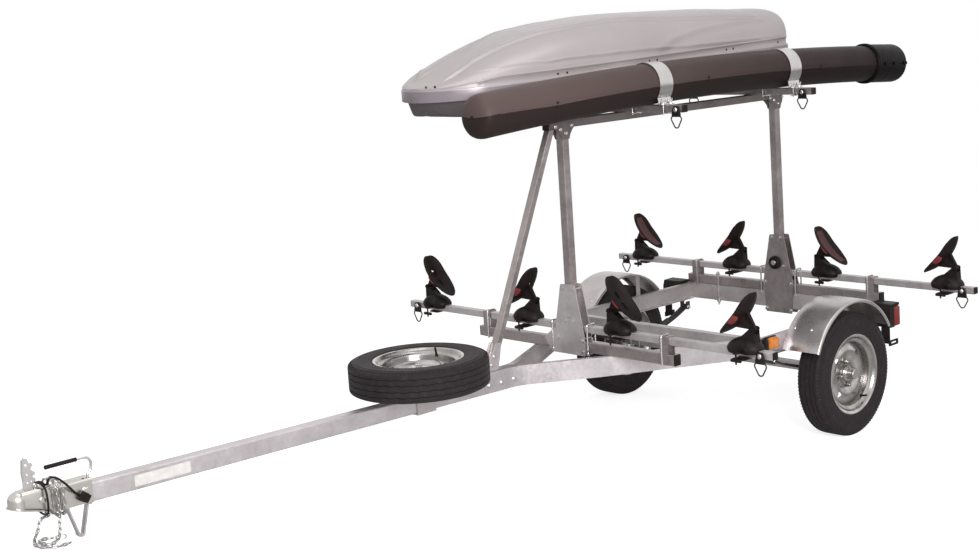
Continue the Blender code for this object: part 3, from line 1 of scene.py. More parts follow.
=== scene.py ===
# Kayak trailer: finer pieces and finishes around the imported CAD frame
from math import asin, atan, atan2, copysign, cos, degrees, exp, pi, radians, sin, sqrt, tan
import bmesh
import bpy
from mathutils import Euler, Matrix, Vector


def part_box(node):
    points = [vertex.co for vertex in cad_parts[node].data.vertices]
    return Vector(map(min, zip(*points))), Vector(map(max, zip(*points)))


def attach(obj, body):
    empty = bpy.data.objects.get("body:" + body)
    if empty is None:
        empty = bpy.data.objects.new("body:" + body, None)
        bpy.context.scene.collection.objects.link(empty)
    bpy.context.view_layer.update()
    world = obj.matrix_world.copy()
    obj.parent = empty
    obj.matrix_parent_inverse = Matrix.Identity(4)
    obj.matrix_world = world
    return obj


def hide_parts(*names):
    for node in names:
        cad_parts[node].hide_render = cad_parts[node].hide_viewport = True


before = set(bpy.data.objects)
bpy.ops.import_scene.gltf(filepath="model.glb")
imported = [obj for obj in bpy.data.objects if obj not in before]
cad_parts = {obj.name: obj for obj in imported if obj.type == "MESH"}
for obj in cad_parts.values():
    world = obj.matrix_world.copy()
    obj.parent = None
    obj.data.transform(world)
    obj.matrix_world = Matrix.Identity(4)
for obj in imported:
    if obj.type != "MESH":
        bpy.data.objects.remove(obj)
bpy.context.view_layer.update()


# where things are: the deck frame of the CAD, origin at the front load bar's middle
def middleOf(node):
    low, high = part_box(node)
    return (Vector(low) + Vector(high)) / 2


frontBar = middleOf("front_load_bar")
barsApart = frontBar - middleOf("rear_load_bar")
lean = atan2(-barsApart.z, barsApart.x)
deck = Matrix.Translation(frontBar) @ Matrix.Rotation(lean, 4, "Y")
floorSlope = tan(lean)
rearX = -barsApart.length
print("frame loaded, deck leans", round(degrees(lean), 2), "degrees")


# shapes: points and faces, with a look number for each face
class Shape:
    def __init__(self, points, faces, look=0):
        self.points = [Vector(point) for point in points]
        self.faces = [tuple(face) for face in faces]
        self.looks = list(look) if isinstance(look, (list, tuple)) else [look] * len(self.faces)

    def __add__(self, other):
        shift = len(self.points)
        faces = self.faces + [tuple(spot + shift for spot in face) for face in other.faces]
        return Shape(self.points + other.points, faces, self.looks + other.looks)

    def by(self, matrix):
        return Shape([matrix @ point for point in self.points], self.faces, self.looks)

    def moved(self, place=(0, 0, 0), turn=(0, 0, 0)):
        return self.by(Matrix.LocRotScale(Vector(place), Euler(turn), None))

    def facing(self, place, direction, spin=0.0):
        turn = Vector(direction).to_track_quat("Z", "Y").to_matrix().to_4x4()
        return self.by(Matrix.Translation(Vector(place)) @ turn @ Matrix.Rotation(spin, 4, "Z"))

    def flipped(self):
        return self.by(Matrix.Diagonal((1, -1, 1, 1)))

    def on(self, side):
        # shapes are drawn for the left, which is +Y
        return self if side > 0 else self.flipped()


nothing = Shape([], [])
bothSides = (("left", 1), ("right", -1))


def arc(centre, radius, start, end, steps):
    points = []
    for step in range(steps + 1):
        angle = start + (end - start) * step / steps
        points.append((centre[0] + radius * cos(angle), centre[1] + radius * sin(angle)))
    return points


def circle(radius, sides, centre=(0, 0)):
    return arc(centre, radius, 0, 2 * pi, sides)[:-1]


def roundedBox(width, height, radius, steps=3, centre=(0, 0)):
    points = []
    for turn, (sx, sy) in enumerate(((1, 1), (-1, 1), (-1, -1), (1, -1))):
        corner = (centre[0] + sx * (width / 2 - radius), centre[1] + sy * (height / 2 - radius))
        points += arc(corner, radius, turn * pi / 2, (turn + 1) * pi / 2, steps)
    return points


def besidePath(points, distance):
    # an open flat path moved sideways, mitred at its bends
    moved = []
    for spot, point in enumerate(points):
        here = Vector(point)
        before = Vector(points[max(spot - 1, 0)])
        after = Vector(points[min(spot + 1, len(points) - 1)])
        first = (here - before).normalized() if spot else (after - here).normalized()
        last = (after - here).normalized() if spot < len(points) - 1 else first
        normal = Vector((-(first + last).y, (first + last).x)).normalized()
        moved.append(tuple(here + normal * distance / max(normal.dot(Vector((-last.y, last.x))), 0.3)))
    return moved


def strip(points, thick):
    return besidePath(points, thick / 2) + besidePath(points, -thick / 2)[::-1]


def smoothRoute(points, spacing):
    # even points on a smooth curve through the route's own points
    spots = [Vector(point) for point in points]
    spots = [2 * spots[0] - spots[1]] + spots + [2 * spots[-1] - spots[-2]]
    fine = []
    for before, start, end, after in zip(spots, spots[1:], spots[2:], spots[3:]):
        for step in range(20):
            t = step / 20
            fine.append(0.5 * (2 * start + (end - before) * t
                               + (2 * before - 5 * start + 4 * end - after) * t * t
                               + (3 * start - before - 3 * end + after) * t ** 3))
    fine.append(spots[-2])
    route = [fine[0]]
    travelled = 0.0
    for before, here in zip(fine, fine[1:]):
        travelled += (here - before).length
        if travelled >= spacing:
            route.append(here)
            travelled = 0.0
    if (route[-1] - fine[-1]).length < spacing / 2:
        route.pop()
    route.append(fine[-1])
    return route


def loft(rings, loop=False, look=0):
    count = len(rings[0])
    points = [point for ring in rings for point in ring]
    faces = []
    for row in range(len(rings) if loop else len(rings) - 1):
        low = row * count
        high = (row + 1) % len(rings) * count
        for spot in range(count):
            after = (spot + 1) % count
            faces.append((low + spot, low + after, high + after, high + spot))
    if not loop:
        faces.append(tuple(range(count)))
        faces.append(tuple(range(len(points) - count, len(points))))
    return Shape(points, faces, look)


def prism(outline, axis, low, high, look=0):
    # the outline's two coordinates and its level, in the order that the axis asks for
    order = {"x": (2, 0, 1), "y": (0, 2, 1), "z": (0, 1, 2)}[axis]
    rings = [[[(a, b, level)[k] for k in order] for a, b in outline] for level in (low, high)]
    return loft(rings, look=look)


def block(low, high, look=0):
    outline = ((low[0], low[1]), (high[0], low[1]), (high[0], high[1]), (low[0], high[1]))
    return prism(outline, "z", low[2], high[2], look)


def turned(profile, sides, loop=False, look=0, swell=None):
    # a profile of (radius, distance along Z) turned about Z
    points, faces, rings = [], [], []
    for spot, (radius, along) in enumerate(profile):
        ring = []
        for index in range(sides if radius > 0 else 1):
            r, h = swell(index, spot, radius, along) if swell else (radius, along)
            angle = index * 2 * pi / sides
            ring.append(len(points))
            points.append((r * cos(angle), r * sin(angle), h))
        rings.append(ring)
    for low, high in zip(rings, rings[1:] + rings[:1] if loop else rings[1:]):
        for index in range(sides):
            after = (index + 1) % sides
            around = ((low, index), (low, after), (high, after), (high, index))
            corners = list(dict.fromkeys(ring[spot % len(ring)] for ring, spot in around))
            if len(corners) > 2:
                faces.append(corners)
    return Shape(points, faces, look)


def sweep(path, section, loop=False, look=0, side=None):
    # a flat section (across, up) carried along a path
    path = [Vector(point) for point in path]
    rings = []
    for index, point in enumerate(path):
        before = path[index - 1] if index or loop else point
        after = path[(index + 1) % len(path)] if index < len(path) - 1 or loop else point
        ahead = (after - before).normalized()
        if side is None:
            side = ahead.cross(Vector((0, 0, 1)) if abs(ahead.z) < 0.9 else Vector((0, 1, 0)))
        side = (Vector(side) - ahead * ahead.dot(Vector(side))).normalized()
        up = side.cross(ahead)
        rings.append([point + (side * across + up * above) for across, above in section])
    return loft(rings, loop=loop, look=look)


def tube(path, radius, sides=12, loop=False, look=0):
    return sweep(path, circle(radius, sides), loop, look)


def rod(start, end, radius, sides=16, look=0):
    span = Vector(end) - Vector(start)
    long = span.length
    c = radius * 0.08
    profile = [(0, 0), (radius - c, 0), (radius, c), (radius, long - c), (radius - c, long), (0, long)]
    return turned(profile, sides, look=look).facing(start, span)


def intoScene(name, data):
    thing = bpy.data.objects.new(name, data)
    bpy.context.scene.collection.objects.link(thing)
    return thing


def carve(shape, *tools):
    # cut closed tools from a closed shape
    things = []
    for part in (shape, sum(tools, nothing)):
        mesh = bpy.data.meshes.new("work")
        mesh.from_pydata([tuple(point) for point in part.points], [], part.faces)
        work = bmesh.new()
        work.from_mesh(mesh)
        bmesh.ops.recalc_face_normals(work, faces=work.faces)
        work.to_mesh(mesh)
        work.free()
        things.append(intoScene("work", mesh))
    cutter = things[0].modifiers.new("work", "BOOLEAN")
    cutter.operation = "DIFFERENCE"
    cutter.solver = "EXACT"
    cutter.use_self = True
    cutter.object = things[1]
    bpy.context.view_layer.update()
    cut = things[0].evaluated_get(bpy.context.evaluated_depsgraph_get())
    solid = cut.to_mesh()
    points = [point.co.copy() for point in solid.vertices]
    result = Shape(points, [tuple(face.vertices) for face in solid.polygons])
    cut.to_mesh_clear()
    for thing in things:
        mesh = thing.data
        bpy.data.objects.remove(thing)
        bpy.data.meshes.remove(mesh)
    return result


def twoSkins(outer, inner, filled=False, band=0):
    # two sheets of points joined along their border; filled closes the end rows with one face each,
    # and band is how many columns at each long edge carry look 2
    rows, count = len(outer), len(outer[0])
    shift = rows * count
    points = [point for sheet in (outer, inner) for line in sheet for point in line]
    faces, looks = [], []
    for row in range(rows - 1):
        for column in range(count - 1):
            a = row * count + column
            faces.append((a, a + 1, a + count + 1, a + count))
            faces.append((shift + a, shift + a + count, shift + a + count + 1, shift + a + 1))
            looks += [2 if min(column, count - 2 - column) < band else 0, 0]
    first = [row * count for row in range(rows)]
    last = [spot + count - 1 for spot in first]
    if filled:
        for start in (first[0], first[-1]):
            ends = tuple(range(start, start + count))
            if band:
                faces += [ends[:band + 1] + ends[-band - 1:], ends[band:-band]]
                looks += [2, 0]
            else:
                faces.append(ends)
                looks.append(0)
            faces.append(tuple(spot + shift for spot in ends))
            looks.append(0)
        border = first + last[::-1]
    else:
        border = list(range(count)) + last[1:] + list(range(first[-1], last[-1]))[::-1] + first[-2:0:-1]
    faces += [(a, b, shift + b, shift + a) for a, b in zip(border, border[1:] + border[:1])]
    return Shape(points, faces, looks + [0] * len(border))


def placed(name, mesh, body, replaced=(), at=None, bevel=0.0):
    thing = intoScene(name, mesh)
    thing.matrix_world = deck @ (at or Matrix.Identity(4))
    if bevel:
        edges = thing.modifiers.new("edges", "BEVEL")
        edges.width = bevel
        edges.segments = 2
        edges.limit_method = "ANGLE"
        edges.angle_limit = radians(40)
        edges.harden_normals = True
    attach(thing, body)
    if replaced:
        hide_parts(*replaced)
    return thing


def piece(name, shape, looks, body, replaced=(), at=None, soft=35, bevel=0.0):
    work = bmesh.new()
    corners = [work.verts.new(point) for point in shape.points]
    for face, look in zip(shape.faces, shape.looks):
        work.faces.new([corners[spot] for spot in face]).material_index = look
    bmesh.ops.recalc_face_normals(work, faces=work.faces)
    mesh = bpy.data.meshes.new(name)
    work.to_mesh(mesh)
    work.free()
    mesh.shade_smooth()
    mesh.set_sharp_from_angle(angle=radians(soft))
    for look in looks if isinstance(looks, (list, tuple)) else [looks]:
        mesh.materials.append(look)
    return placed(name, mesh, body, replaced, at, bevel)


# fasteners, each standing along +Z on its own seat
def hexHead(across, height, look=0):
    r = across / 2 / cos(pi / 6)
    rings = [(0.96, 0.0), (1.0, 0.06), (1.0, 0.78), (0.86, 1.0)]
    return loft([[(x * s, y * s, height * h) for x, y in circle(r, 6)] for s, h in rings], look=look)


def washer(radius, thick, look):
    edge = [(radius * 0.96, 0), (radius, thick * 0.3), (radius, thick * 0.8), (radius * 0.95, thick)]
    return turned([(0, 0)] + edge + [(0, thick)], 20, look=look)


def bolt(size, look=0, tall=0.62):
    # head on a washer
    seat = size * 0.18
    return washer(size * 1.05, seat, look) + hexHead(size * 1.6, size * tall, look).moved((0, 0, seat))


def nut(size, stud, look=0):
    # nut on a washer, with the bolt's threaded end through it
    thread = [(0, size * 0.9)]
    turns = max(int(stud / 0.0012), 2)
    for step in range(turns * 2 + 1):
        thread.append((size * (0.5 if step % 2 else 0.44), size * 0.9 + stud * step / turns / 2))
    thread.append((0, size * 0.9 + stud))
    return bolt(size, look, 0.8) + turned(thread, 12, look=look)


def rivet(radius, look=0):
    dome = [(radius, 0)] + [(radius * cos(a), radius * 0.55 * sin(a)) for a in (0.35, 0.7, 1.05, 1.35)]
    return turned(dome + [(0, radius * 0.55)], 16, look=look)


def uBolt(width, reach, radius, look=0):
    # bend over the top of a bar, legs pointing along -Z
    bend = radius * 2.2
    path = [(-width / 2, -reach), (-width / 2, -bend)]
    path += arc((-width / 2 + bend, -bend), bend, pi, pi / 2, 5)
    path += arc((width / 2 - bend, -bend), bend, pi / 2, 0, 5) + [(width / 2, -reach)]
    return tube([(x, 0, z) for x, z in path], radius, 10, look=look)


# materials: a socket that takes part in Python maths, and a look that holds the tree
class Wire:
    def __init__(self, look, socket):
        self.look = look
        self.socket = socket

    def __add__(self, other):
        return self.look.maths("ADD", self, other)

    def __sub__(self, other):
        return self.look.maths("SUBTRACT", self, other)

    def __mul__(self, other):
        return self.look.maths("MULTIPLY", self, other)


class Look:
    def __init__(self, name, **steady):
        self.material = bpy.data.materials.new(name)
        self.material.use_nodes = True
        self.tree = self.material.node_tree
        self.shader = self.tree.nodes["Principled BSDF"]
        for socket, value in steady.items():
            self.feed(self.shader.inputs[socket.replace("_", " ")], value)

    def feed(self, socket, value):
        if isinstance(value, Wire):
            self.tree.links.new(value.socket, socket)
        elif socket.type == "RGBA" and len(value) == 3:
            socket.default_value = (*value, 1.0)
        else:
            socket.default_value = value

    def node(self, kind, settings=None, sockets=None, output=0):
        made = self.tree.nodes.new("ShaderNode" + kind)
        for name, value in (settings or {}).items():
            if name == "stops":
                ramp = made.color_ramp
                while len(ramp.elements) < len(value):
                    ramp.elements.new(1.0)
                for element, (place, colour) in zip(ramp.elements, value):
                    element.position = place
                    element.color = (*colour, 1.0)
            else:
                setattr(made, name, value)
        for name, value in (sockets or {}).items():
            self.feed(made.inputs[name], value)
        return Wire(self, made.outputs[output])

    def maths(self, operation, *values, clamp=False):
        return self.node("Math", {"operation": operation, "use_clamp": clamp}, dict(enumerate(values)))

    def clamped(self, value):
        return self.maths("ADD", value, 0.0, clamp=True)

    def where(self, size=(1, 1, 1)):
        # the piece's own coordinates, in metres
        return self.node("Mapping", {}, {"Vector": self.node("TexCoord", output="Object"), "Scale": size})

    def noise(self, scale, detail=3.0, rough=0.55, place=None):
        sockets = {"Vector": place or self.where(), "Scale": scale, "Detail": detail, "Roughness": rough}
        return self.node("TexNoise", {}, sockets)

    def cells(self, scale, output="Distance"):
        return self.node("TexVoronoi", {}, {"Vector": self.where(), "Scale": scale}, output)

    def ramp(self, value, *stops):
        return self.node("ValToRGB", {"stops": stops}, {0: value})

    def spread(self, value, low, high, start=0.3, end=0.7):
        # a value's range mapped onto another, held at its ends
        return self.node("MapRange", {"clamp": True}, {0: value, 1: start, 2: end, 3: low, 4: high})

    def blend(self, factor, first, second):
        return self.node("Mix", {"data_type": "RGBA"}, {0: factor, 6: first, 7: second}, 2)

    def shaded(self, value, dark, pale, start=0.3, end=0.7):
        return self.blend(self.spread(value, 0.0, 1.0, start, end), dark, pale)

    def finished(self, colour, roughness, height, strength, depth):
        bump = self.node("Bump", {}, {"Height": height, "Strength": strength, "Distance": depth})
        for socket, value in (("Base Color", colour), ("Roughness", roughness), ("Normal", bump)):
            self.feed(self.shader.inputs[socket], value)
        return self.material


galvanisedTone = {"bright": (0.66, 0.615, 0.62), "dull": (0.4, 0.37, 0.375),
                  "grime": (0.25, 0.225, 0.23), "metallic": 0.78}
silveryTone = {"bright": (0.68, 0.63, 0.645), "dull": (0.46, 0.42, 0.43), "grime": (0.38, 0.35, 0.35),
               "metallic": 0.8}
smokyTone = {"bright": (0.46, 0.405, 0.405), "dull": (0.23, 0.2, 0.2), "grime": (0.15, 0.13, 0.13),
             "metallic": 0.8}
sheetTone = {"bright": (0.62, 0.575, 0.575), "dull": (0.38, 0.35, 0.35), "grime": (0.44, 0.405, 0.405),
             "metallic": 0.85}
# painted shade: a darker galvanised tone for the top rail, standing in for the rod tube's shadow on it
paintedShadeTone = {"bright": (0.25, 0.215, 0.215), "dull": (0.13, 0.108, 0.108),
              "grime": (0.1, 0.085, 0.085), "metallic": 0.75}


def galvanised(name="galvanised_steel", tone=galvanisedTone, rough=(0.34, 0.52), spangle=85.0, fleck=0.22):
    look = Look(name, Metallic=tone["metallic"])
    crystals = look.cells(spangle, output="Color")
    grain = look.node("SeparateColor", {}, {0: crystals})
    clouds = look.noise(7.0, 4.0, 0.6)
    streaks = look.noise(1.0, 4.0, 0.6, look.where((26, 26, 3)))
    shade = look.spread(clouds, 0.0, 1.0, 0.32, 0.7) * 0.55 + grain * fleck + streaks * (0.52 - fleck)
    colour = look.blend(look.clamped(shade), tone["dull"], tone["bright"])
    spots = look.spread(look.noise(55.0, 2.0, 0.5), 0.0, 0.35, 0.66, 0.8)
    colour = look.blend(spots, colour, tone["grime"])
    roughness = look.spread(clouds * (1 - 1.8 * fleck) + grain * (1.8 * fleck), rough[0], rough[1], 0.2, 0.8)
    height = grain * fleck * 1.1 + look.noise(240.0, 2.0) * (0.1 + 1.8 * fleck)
    return look.finished(colour, roughness, height, 0.22, 0.0006)


def zinc(name, colour, rough):
    look = Look(name, Metallic=1.0)
    clouds = look.noise(22.0, 4.0, 0.6)
    wipe = look.noise(1.0, 3.0, 0.5, look.where((60, 60, 400)))
    tone = look.blend(look.spread(clouds, 0.0, 0.6, 0.35, 0.75), colour, tuple(c * 0.74 for c in colour))
    roughness = look.spread(clouds * 0.7 + wipe * 0.3, *rough)
    return look.finished(tone, roughness, clouds, 0.15, 0.0008)


def turnedZinc():
    # pressed wheel: painted reflections and painted shade in rings, bright at its edges, darker where the
    # dish turns away and in its recesses
    look = Look("rim_zinc", Metallic=0.92)
    across, up = (look.node("SeparateXYZ", {}, {0: look.where()}, axis) for axis in (0, 1))
    radius = look.maths("SQRT", across * across + up * up)
    wander = look.noise(7.0, 3.0, 0.6) - 0.5
    place = radius * 5.6 + wander * 0.1
    # painted light: these pale and dark rings stand in for reflections and shade on the dish
    tone = look.ramp(place, (0.16, (0.58, 0.55, 0.53)), (0.24, (0.24, 0.22, 0.21)),
                     (0.38, (0.6, 0.58, 0.56)), (0.52, (0.4, 0.38, 0.365)), (0.66, (0.66, 0.64, 0.62)),
                     (0.745, (0.2, 0.185, 0.18)), (0.8, (0.52, 0.5, 0.48)), (0.88, (0.34, 0.32, 0.31)),
                     (0.94, (0.74, 0.72, 0.7)))
    patches = look.spread(look.noise(16.0, 4.0, 0.65), 0.0, 0.75, 0.4, 0.72)
    tone = look.blend(patches, tone, (0.21, 0.195, 0.19))
    return look.finished(tone, look.spread(look.noise(30.0), 0.16, 0.32), look.noise(60.0, 2.0), 0.12, 0.0006)


def mouldedPlastic(name="black_plastic", colour=(0.008, 0.006, 0.006), worn=(0.02, 0.0145, 0.014),
                   rough=(0.38, 0.54), grain=900.0):
    look = Look(name, Specular_IOR_Level=0.13)
    tone = look.shaded(look.noise(14.0), colour, worn, 0.35, 0.72)
    return look.finished(tone, look.spread(look.noise(30.0), *rough), look.cells(grain), 0.25, 0.0004)


def tyreRubber():
    look = Look("tyre_rubber", Specular_IOR_Level=0.15, Sheen_Weight=0.04, Sheen_Roughness=0.5)
    clouds = look.noise(9.0, 4.0, 0.6)
    dust = look.spread(look.noise(40.0, 4.0, 0.65), 0.0, 0.7, 0.48, 0.75)
    tone = look.blend(clouds, (0.014, 0.0105, 0.0125), (0.028, 0.022, 0.0245))
    tone = look.blend(dust * 0.35, tone, (0.07, 0.059, 0.057))
    height = look.noise(700.0, 2.0) * 0.6 + look.noise(60.0, 3.0) * 0.4
    return look.finished(tone, look.spread(clouds, 0.58, 0.76), height, 0.3, 0.0007)


def boxLidPlastic(name="lid_silver", dark=(0.365, 0.323, 0.33), light=(0.42, 0.374, 0.381)):
    # silver lilac with a fine flake and a soft gloss
    look = Look(name, Metallic=0.2, Coat_Weight=0.18, Coat_Roughness=0.28)
    sparkle = look.node("SeparateColor", {}, {0: look.cells(2600.0, output="Color")})
    tone = look.blend(sparkle * 0.1, look.shaded(look.noise(2.2), dark, light), (0.66, 0.62, 0.63))
    return look.finished(tone, look.spread(look.noise(18.0), 0.3, 0.4), look.noise(900.0, 1.0), 0.06, 0.0003)


def boxBasePlastic():
    look = Look("base_dark", Specular_IOR_Level=0.4)
    clouds = look.noise(6.0)
    tone = look.shaded(clouds, (0.078, 0.066, 0.072), (0.118, 0.101, 0.108))
    return look.finished(tone, look.spread(clouds, 0.5, 0.64), look.cells(650.0), 0.35, 0.0006)


def tubePlastic(name="tube_brown_black", dark=(0.006, 0.0036, 0.0038), pale=(0.018, 0.0118, 0.0115),
                paintedLightFront=(0.026, 0.0175, 0.0165)):
    # extruded pipe: brown-black, with painted light that makes it lighter toward the front, and a soft sheen
    # along it
    look = Look(name, Specular_IOR_Level=0.1)
    drawn = look.noise(1.0, 4.0, 0.6, look.where((1.2, 34, 34)))
    clouds = look.noise(5.0)
    along = look.node("SeparateXYZ", {}, {0: look.where()})
    tone = look.shaded(clouds * 0.5 + drawn * 0.5, dark, pale)
    # painted light: the colour runs lighter toward the front of the pipe, where the light falls
    tone = look.shaded(along + clouds * 0.3, tone, paintedLightFront, -1.75, 0.45)
    return look.finished(tone, look.spread(drawn, 0.4, 0.52), drawn, 0.1, 0.0008)


def blackPaint():
    look = Look("black_paint", Specular_IOR_Level=0.35)
    clouds = look.noise(25.0, 4.0, 0.6)
    chips = look.spread(look.noise(120.0, 3.0, 0.6), 0.0, 1.0, 0.7, 0.76)
    tone = look.shaded(clouds, (0.022, 0.02, 0.02), (0.045, 0.04, 0.04))
    tone = look.blend(chips * 0.5, tone, (0.16, 0.14, 0.13))
    return look.finished(tone, look.spread(clouds, 0.34, 0.5), clouds, 0.2, 0.0006)


def lens(name, colour, deep):
    # moulded lamp lens with fine prisms inside
    look = Look(name, Specular_IOR_Level=0.25, Coat_Weight=0.12, Coat_Roughness=0.1)
    prisms = look.node("TexWave", {"bands_direction": "Z"},
                       {"Vector": look.where(), "Scale": 95.0, "Distortion": 0.0})
    tone = look.blend(prisms * 0.6 + look.noise(60.0) * 0.4, deep, colour)
    return look.finished(tone, look.spread(prisms, 0.12, 0.28, 0.0, 1.0), prisms, 0.25, 0.0008)


def plainTrim(name, colour, rough=0.45):
    look = Look(name)
    clouds = look.noise(40.0)
    tone = look.shaded(clouds, tuple(c * 0.82 for c in colour), colour)
    roughness = look.spread(clouds, rough - 0.06, rough + 0.08)
    return look.finished(tone, roughness, look.noise(500.0, 2.0), 0.15, 0.0004)


steel = galvanised()
silverSteel = galvanised("silvery_galvanised", silveryTone, (0.3, 0.46), 95.0)
smokySteel = galvanised("smoky_galvanised", smokyTone, (0.26, 0.42), 70.0)
sheetSteel = galvanised("sheet_galvanised", sheetTone, (0.22, 0.34), 120.0, 0.04)
paintedShadeSteel = galvanised("painted_shade_galvanised", paintedShadeTone, (0.3, 0.46), 70.0)
plated = zinc("bright_zinc", (0.66, 0.64, 0.63), (0.18, 0.36))
rimZinc = turnedZinc()
linkSteel = zinc("chain_zinc", (0.46, 0.45, 0.445), (0.2, 0.4))
couplerZinc = zinc("coupler_zinc", (0.6, 0.575, 0.54), (0.22, 0.42))
brass = zinc("yellow_zinc", (0.62, 0.4, 0.14), (0.22, 0.38))
plastic = mouldedPlastic()
padRubber = mouldedPlastic("pad_rubber", (0.009, 0.0055, 0.0055), (0.019, 0.0125, 0.012), (0.44, 0.58), 700.0)
capPlastic = mouldedPlastic("cap_plastic", (0.01, 0.0075, 0.0075), (0.022, 0.0175, 0.017), (0.36, 0.5),
                            1200.0)
tyre = tyreRubber()
lidPlastic = boxLidPlastic()
rimPlastic = boxLidPlastic("lid_rim_silver", (0.225, 0.19, 0.215), (0.265, 0.225, 0.25))
basePlastic = boxBasePlastic()
tubeDark = tubePlastic()
# painted light: a lighter copy of the pipe's look for its lit upper half and its seams
tubePaintedLitTop = tubePlastic("tube_painted_lit_top", (0.008, 0.005, 0.005), (0.024, 0.016, 0.0155), (0.1, 0.071, 0.066))
capDark = tubePlastic("tube_cap_black", (0.002, 0.0012, 0.0014), (0.005, 0.0032, 0.0036),
                      (0.005, 0.0034, 0.0036))
paint = blackPaint()
redLens = lens("red_lens", (0.31, 0.024, 0.021), (0.15, 0.009, 0.009))
amberLens = lens("amber_lens", (0.72, 0.26, 0.045), (0.48, 0.13, 0.02))
redTrim = plainTrim("red_trim", (0.2, 0.03, 0.028))
redFace = plainTrim("red_insert", (0.058, 0.011, 0.012), 0.55)
paleLabel = plainTrim("pale_panel", (0.7, 0.67, 0.655), 0.42)
print("materials made")

carried = {
    steel: ("right_frame_rail", "front_crossmember", "rear_crossmember", "axle_beam", "front_load_bar",
            "rear_load_bar", "front_gusset", "spare_carrier"),
    silverSteel: ("tongue_tube", "left_frame_rail"),
    smokySteel: ("front_cross_beam", "rear_cross_beam", "front_post", "rear_post", "post_brace",
                 "front_top_bar", "rear_top_bar", "rear_gusset"),
    # the top rail takes the darker tone as painted shade from the rod tube above it
    paintedShadeSteel: ("top_rail",),
}
for look, nodes in carried.items():
    for node in nodes:
        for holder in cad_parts[node].material_slots:
            holder.material = look


# camera, matched to the photograph in the deck frame
view = {"lens": 56.463, "place": (4.3767, 4.3977, 1.3056), "right": (-0.7104, 0.70127, -0.05959),
        "ahead": (-0.69056, -0.71087, -0.13336), "shift": (-0.0607, -0.0617)}


def makeCamera():
    data = bpy.data.cameras.new("photo_camera")
    data.lens = view["lens"]
    data.sensor_width = 36.0
    data.sensor_fit = "HORIZONTAL"
    data.shift_x, data.shift_y = view["shift"]
    data.clip_start = 0.05
    data.clip_end = 100.0
    ahead = Vector(view["ahead"]).normalized()
    right = Vector(view["right"])
    right = (right - ahead * right.dot(ahead)).normalized()
    up = right.cross(ahead)
    turn = Matrix((right, up, -ahead)).transposed().to_4x4()
    camera = intoScene("photo_camera", data)
    camera.matrix_world = deck @ Matrix.Translation(Vector(view["place"])) @ turn
    bpy.context.scene.camera = camera


makeCamera()


# cords: the safety chain and the light cable on the coupler
foot = {"x": 2.231, "z": -0.236, "bend": 0.012}
chainSize = {"radius": 0.007, "wraps": 2, "slack": 0.006, "lift": 0.0013, "wrapX": 2.308, "wrapPitch": 0.018,
             "wire": 0.0027, "linkLength": 0.0225, "linkWidth": 0.0125, "pitch": 0.0173}
cableSize = {"radius": 0.0035, "loopX": 2.349, "loopPitch": 0.01}
plugSize = {"size": (0.036, 0.018, 0.03), "place": (2.2265, 0.0395, -0.1135), "turn": radians(-35),
            "gap": 0.0003}
tongueWidth = 0.051
tongueTilt = radians(0.92)
sleeve = {"rear": 2.19, "front": 2.345, "top": -0.063, "bottom": -0.139, "sheet": 0.004, "noseTop": -0.0555}


def floorUnder(x):
    touchX = foot["x"] + foot["bend"] * sin(lean)
    touchZ = foot["z"] - foot["bend"] * cos(lean)
    return touchZ + (x - touchX) * floorSlope


def chainRoute():
    radius, slack = chainSize["radius"], chainSize["slack"]

    def onFloor(x, y):
        return (x, y, floorUnder(x) + radius + chainSize["lift"])

    start = [onFloor(2.3, 0.07), onFloor(2.345, 0.085), onFloor(2.385, 0.065), onFloor(2.395, 0.03)]
    start += [(2.385, 0.008, floorUnder(2.385) + 0.022), (2.366, -0.004, -0.19), (2.352, -0.01, -0.16)]
    wraps = []
    reachY = tongueWidth / 2 + sleeve["sheet"] + radius + slack
    reachZ = (sleeve["noseTop"] - sleeve["bottom"]) / 2 + radius + slack
    centre = (sleeve["noseTop"] + sleeve["bottom"]) / 2
    for step in range(12 * chainSize["wraps"] + 1):
        angle = -pi / 2 - 2 * pi * step / 12
        across = copysign(min(abs(cos(angle)) * 1.35, 1.0), cos(angle))
        up = copysign(min(abs(sin(angle)) * 1.35, 1.0), sin(angle))
        x = chainSize["wrapX"] + chainSize["wrapPitch"] * (chainSize["wraps"] / 2 - step / 12)
        wraps.append((x, reachY * across, centre + reachZ * up))
    end = [(2.3, 0.01, -0.175), (2.305, 0.016, -0.205)]
    end += [(2.318, 0.03, floorUnder(2.318) + 0.016), onFloor(2.345, 0.045), onFloor(2.368, 0.036)]
    end += [onFloor(2.372, 0.006), onFloor(2.35, -0.018), onFloor(2.312, -0.012)]
    return start + wraps + end


def cableRoute():
    loops = []
    for step in range(18):
        angle = radians(-150) - 2 * pi * step / 12
        x = cableSize["loopX"] + cableSize["loopPitch"] * (0.5 - step / 12)
        across = copysign(abs(cos(angle)) ** 0.65, cos(angle))
        up = copysign(abs(sin(angle)) ** 0.65, sin(angle))
        loops.append((x, 0.046 * across, -0.093 + 0.05 * up))
    tail = [(2.332, 0.038, -0.024), (2.316, 0.053, -0.026), (2.298, 0.064, -0.045)]
    tail += [(2.28, 0.063, -0.067), (2.262, 0.05, -0.086)]
    return loops + tail


def chainLink():
    # one oval link along X, its wire in the XY plane
    half = chainSize["linkWidth"] / 2 - chainSize["wire"]
    reach = chainSize["linkLength"] / 2 - chainSize["wire"]
    path = arc((reach - half, 0), half, -pi / 2, pi / 2, 6)
    path += arc((half - reach, 0), half, pi / 2, pi * 1.5, 6)
    return tube([(x, y, 0) for x, y in path], chainSize["wire"], 8, loop=True)


def hookShape():
    # small S-hook along +Z, its eye at the origin
    turns = [radians(d) for d in range(-120, 181, 30)]
    path = [(0.005 * sin(a), 0.005 - 0.005 * cos(a)) for a in turns]
    path += [(0.003, 0.016), (0.0058, 0.022), (0.0052, 0.029), (0.0, 0.0325), (-0.0052, 0.029),
             (-0.0056, 0.023)]
    return tube([(x, 0, z) for x, z in path], 0.0021, 10)


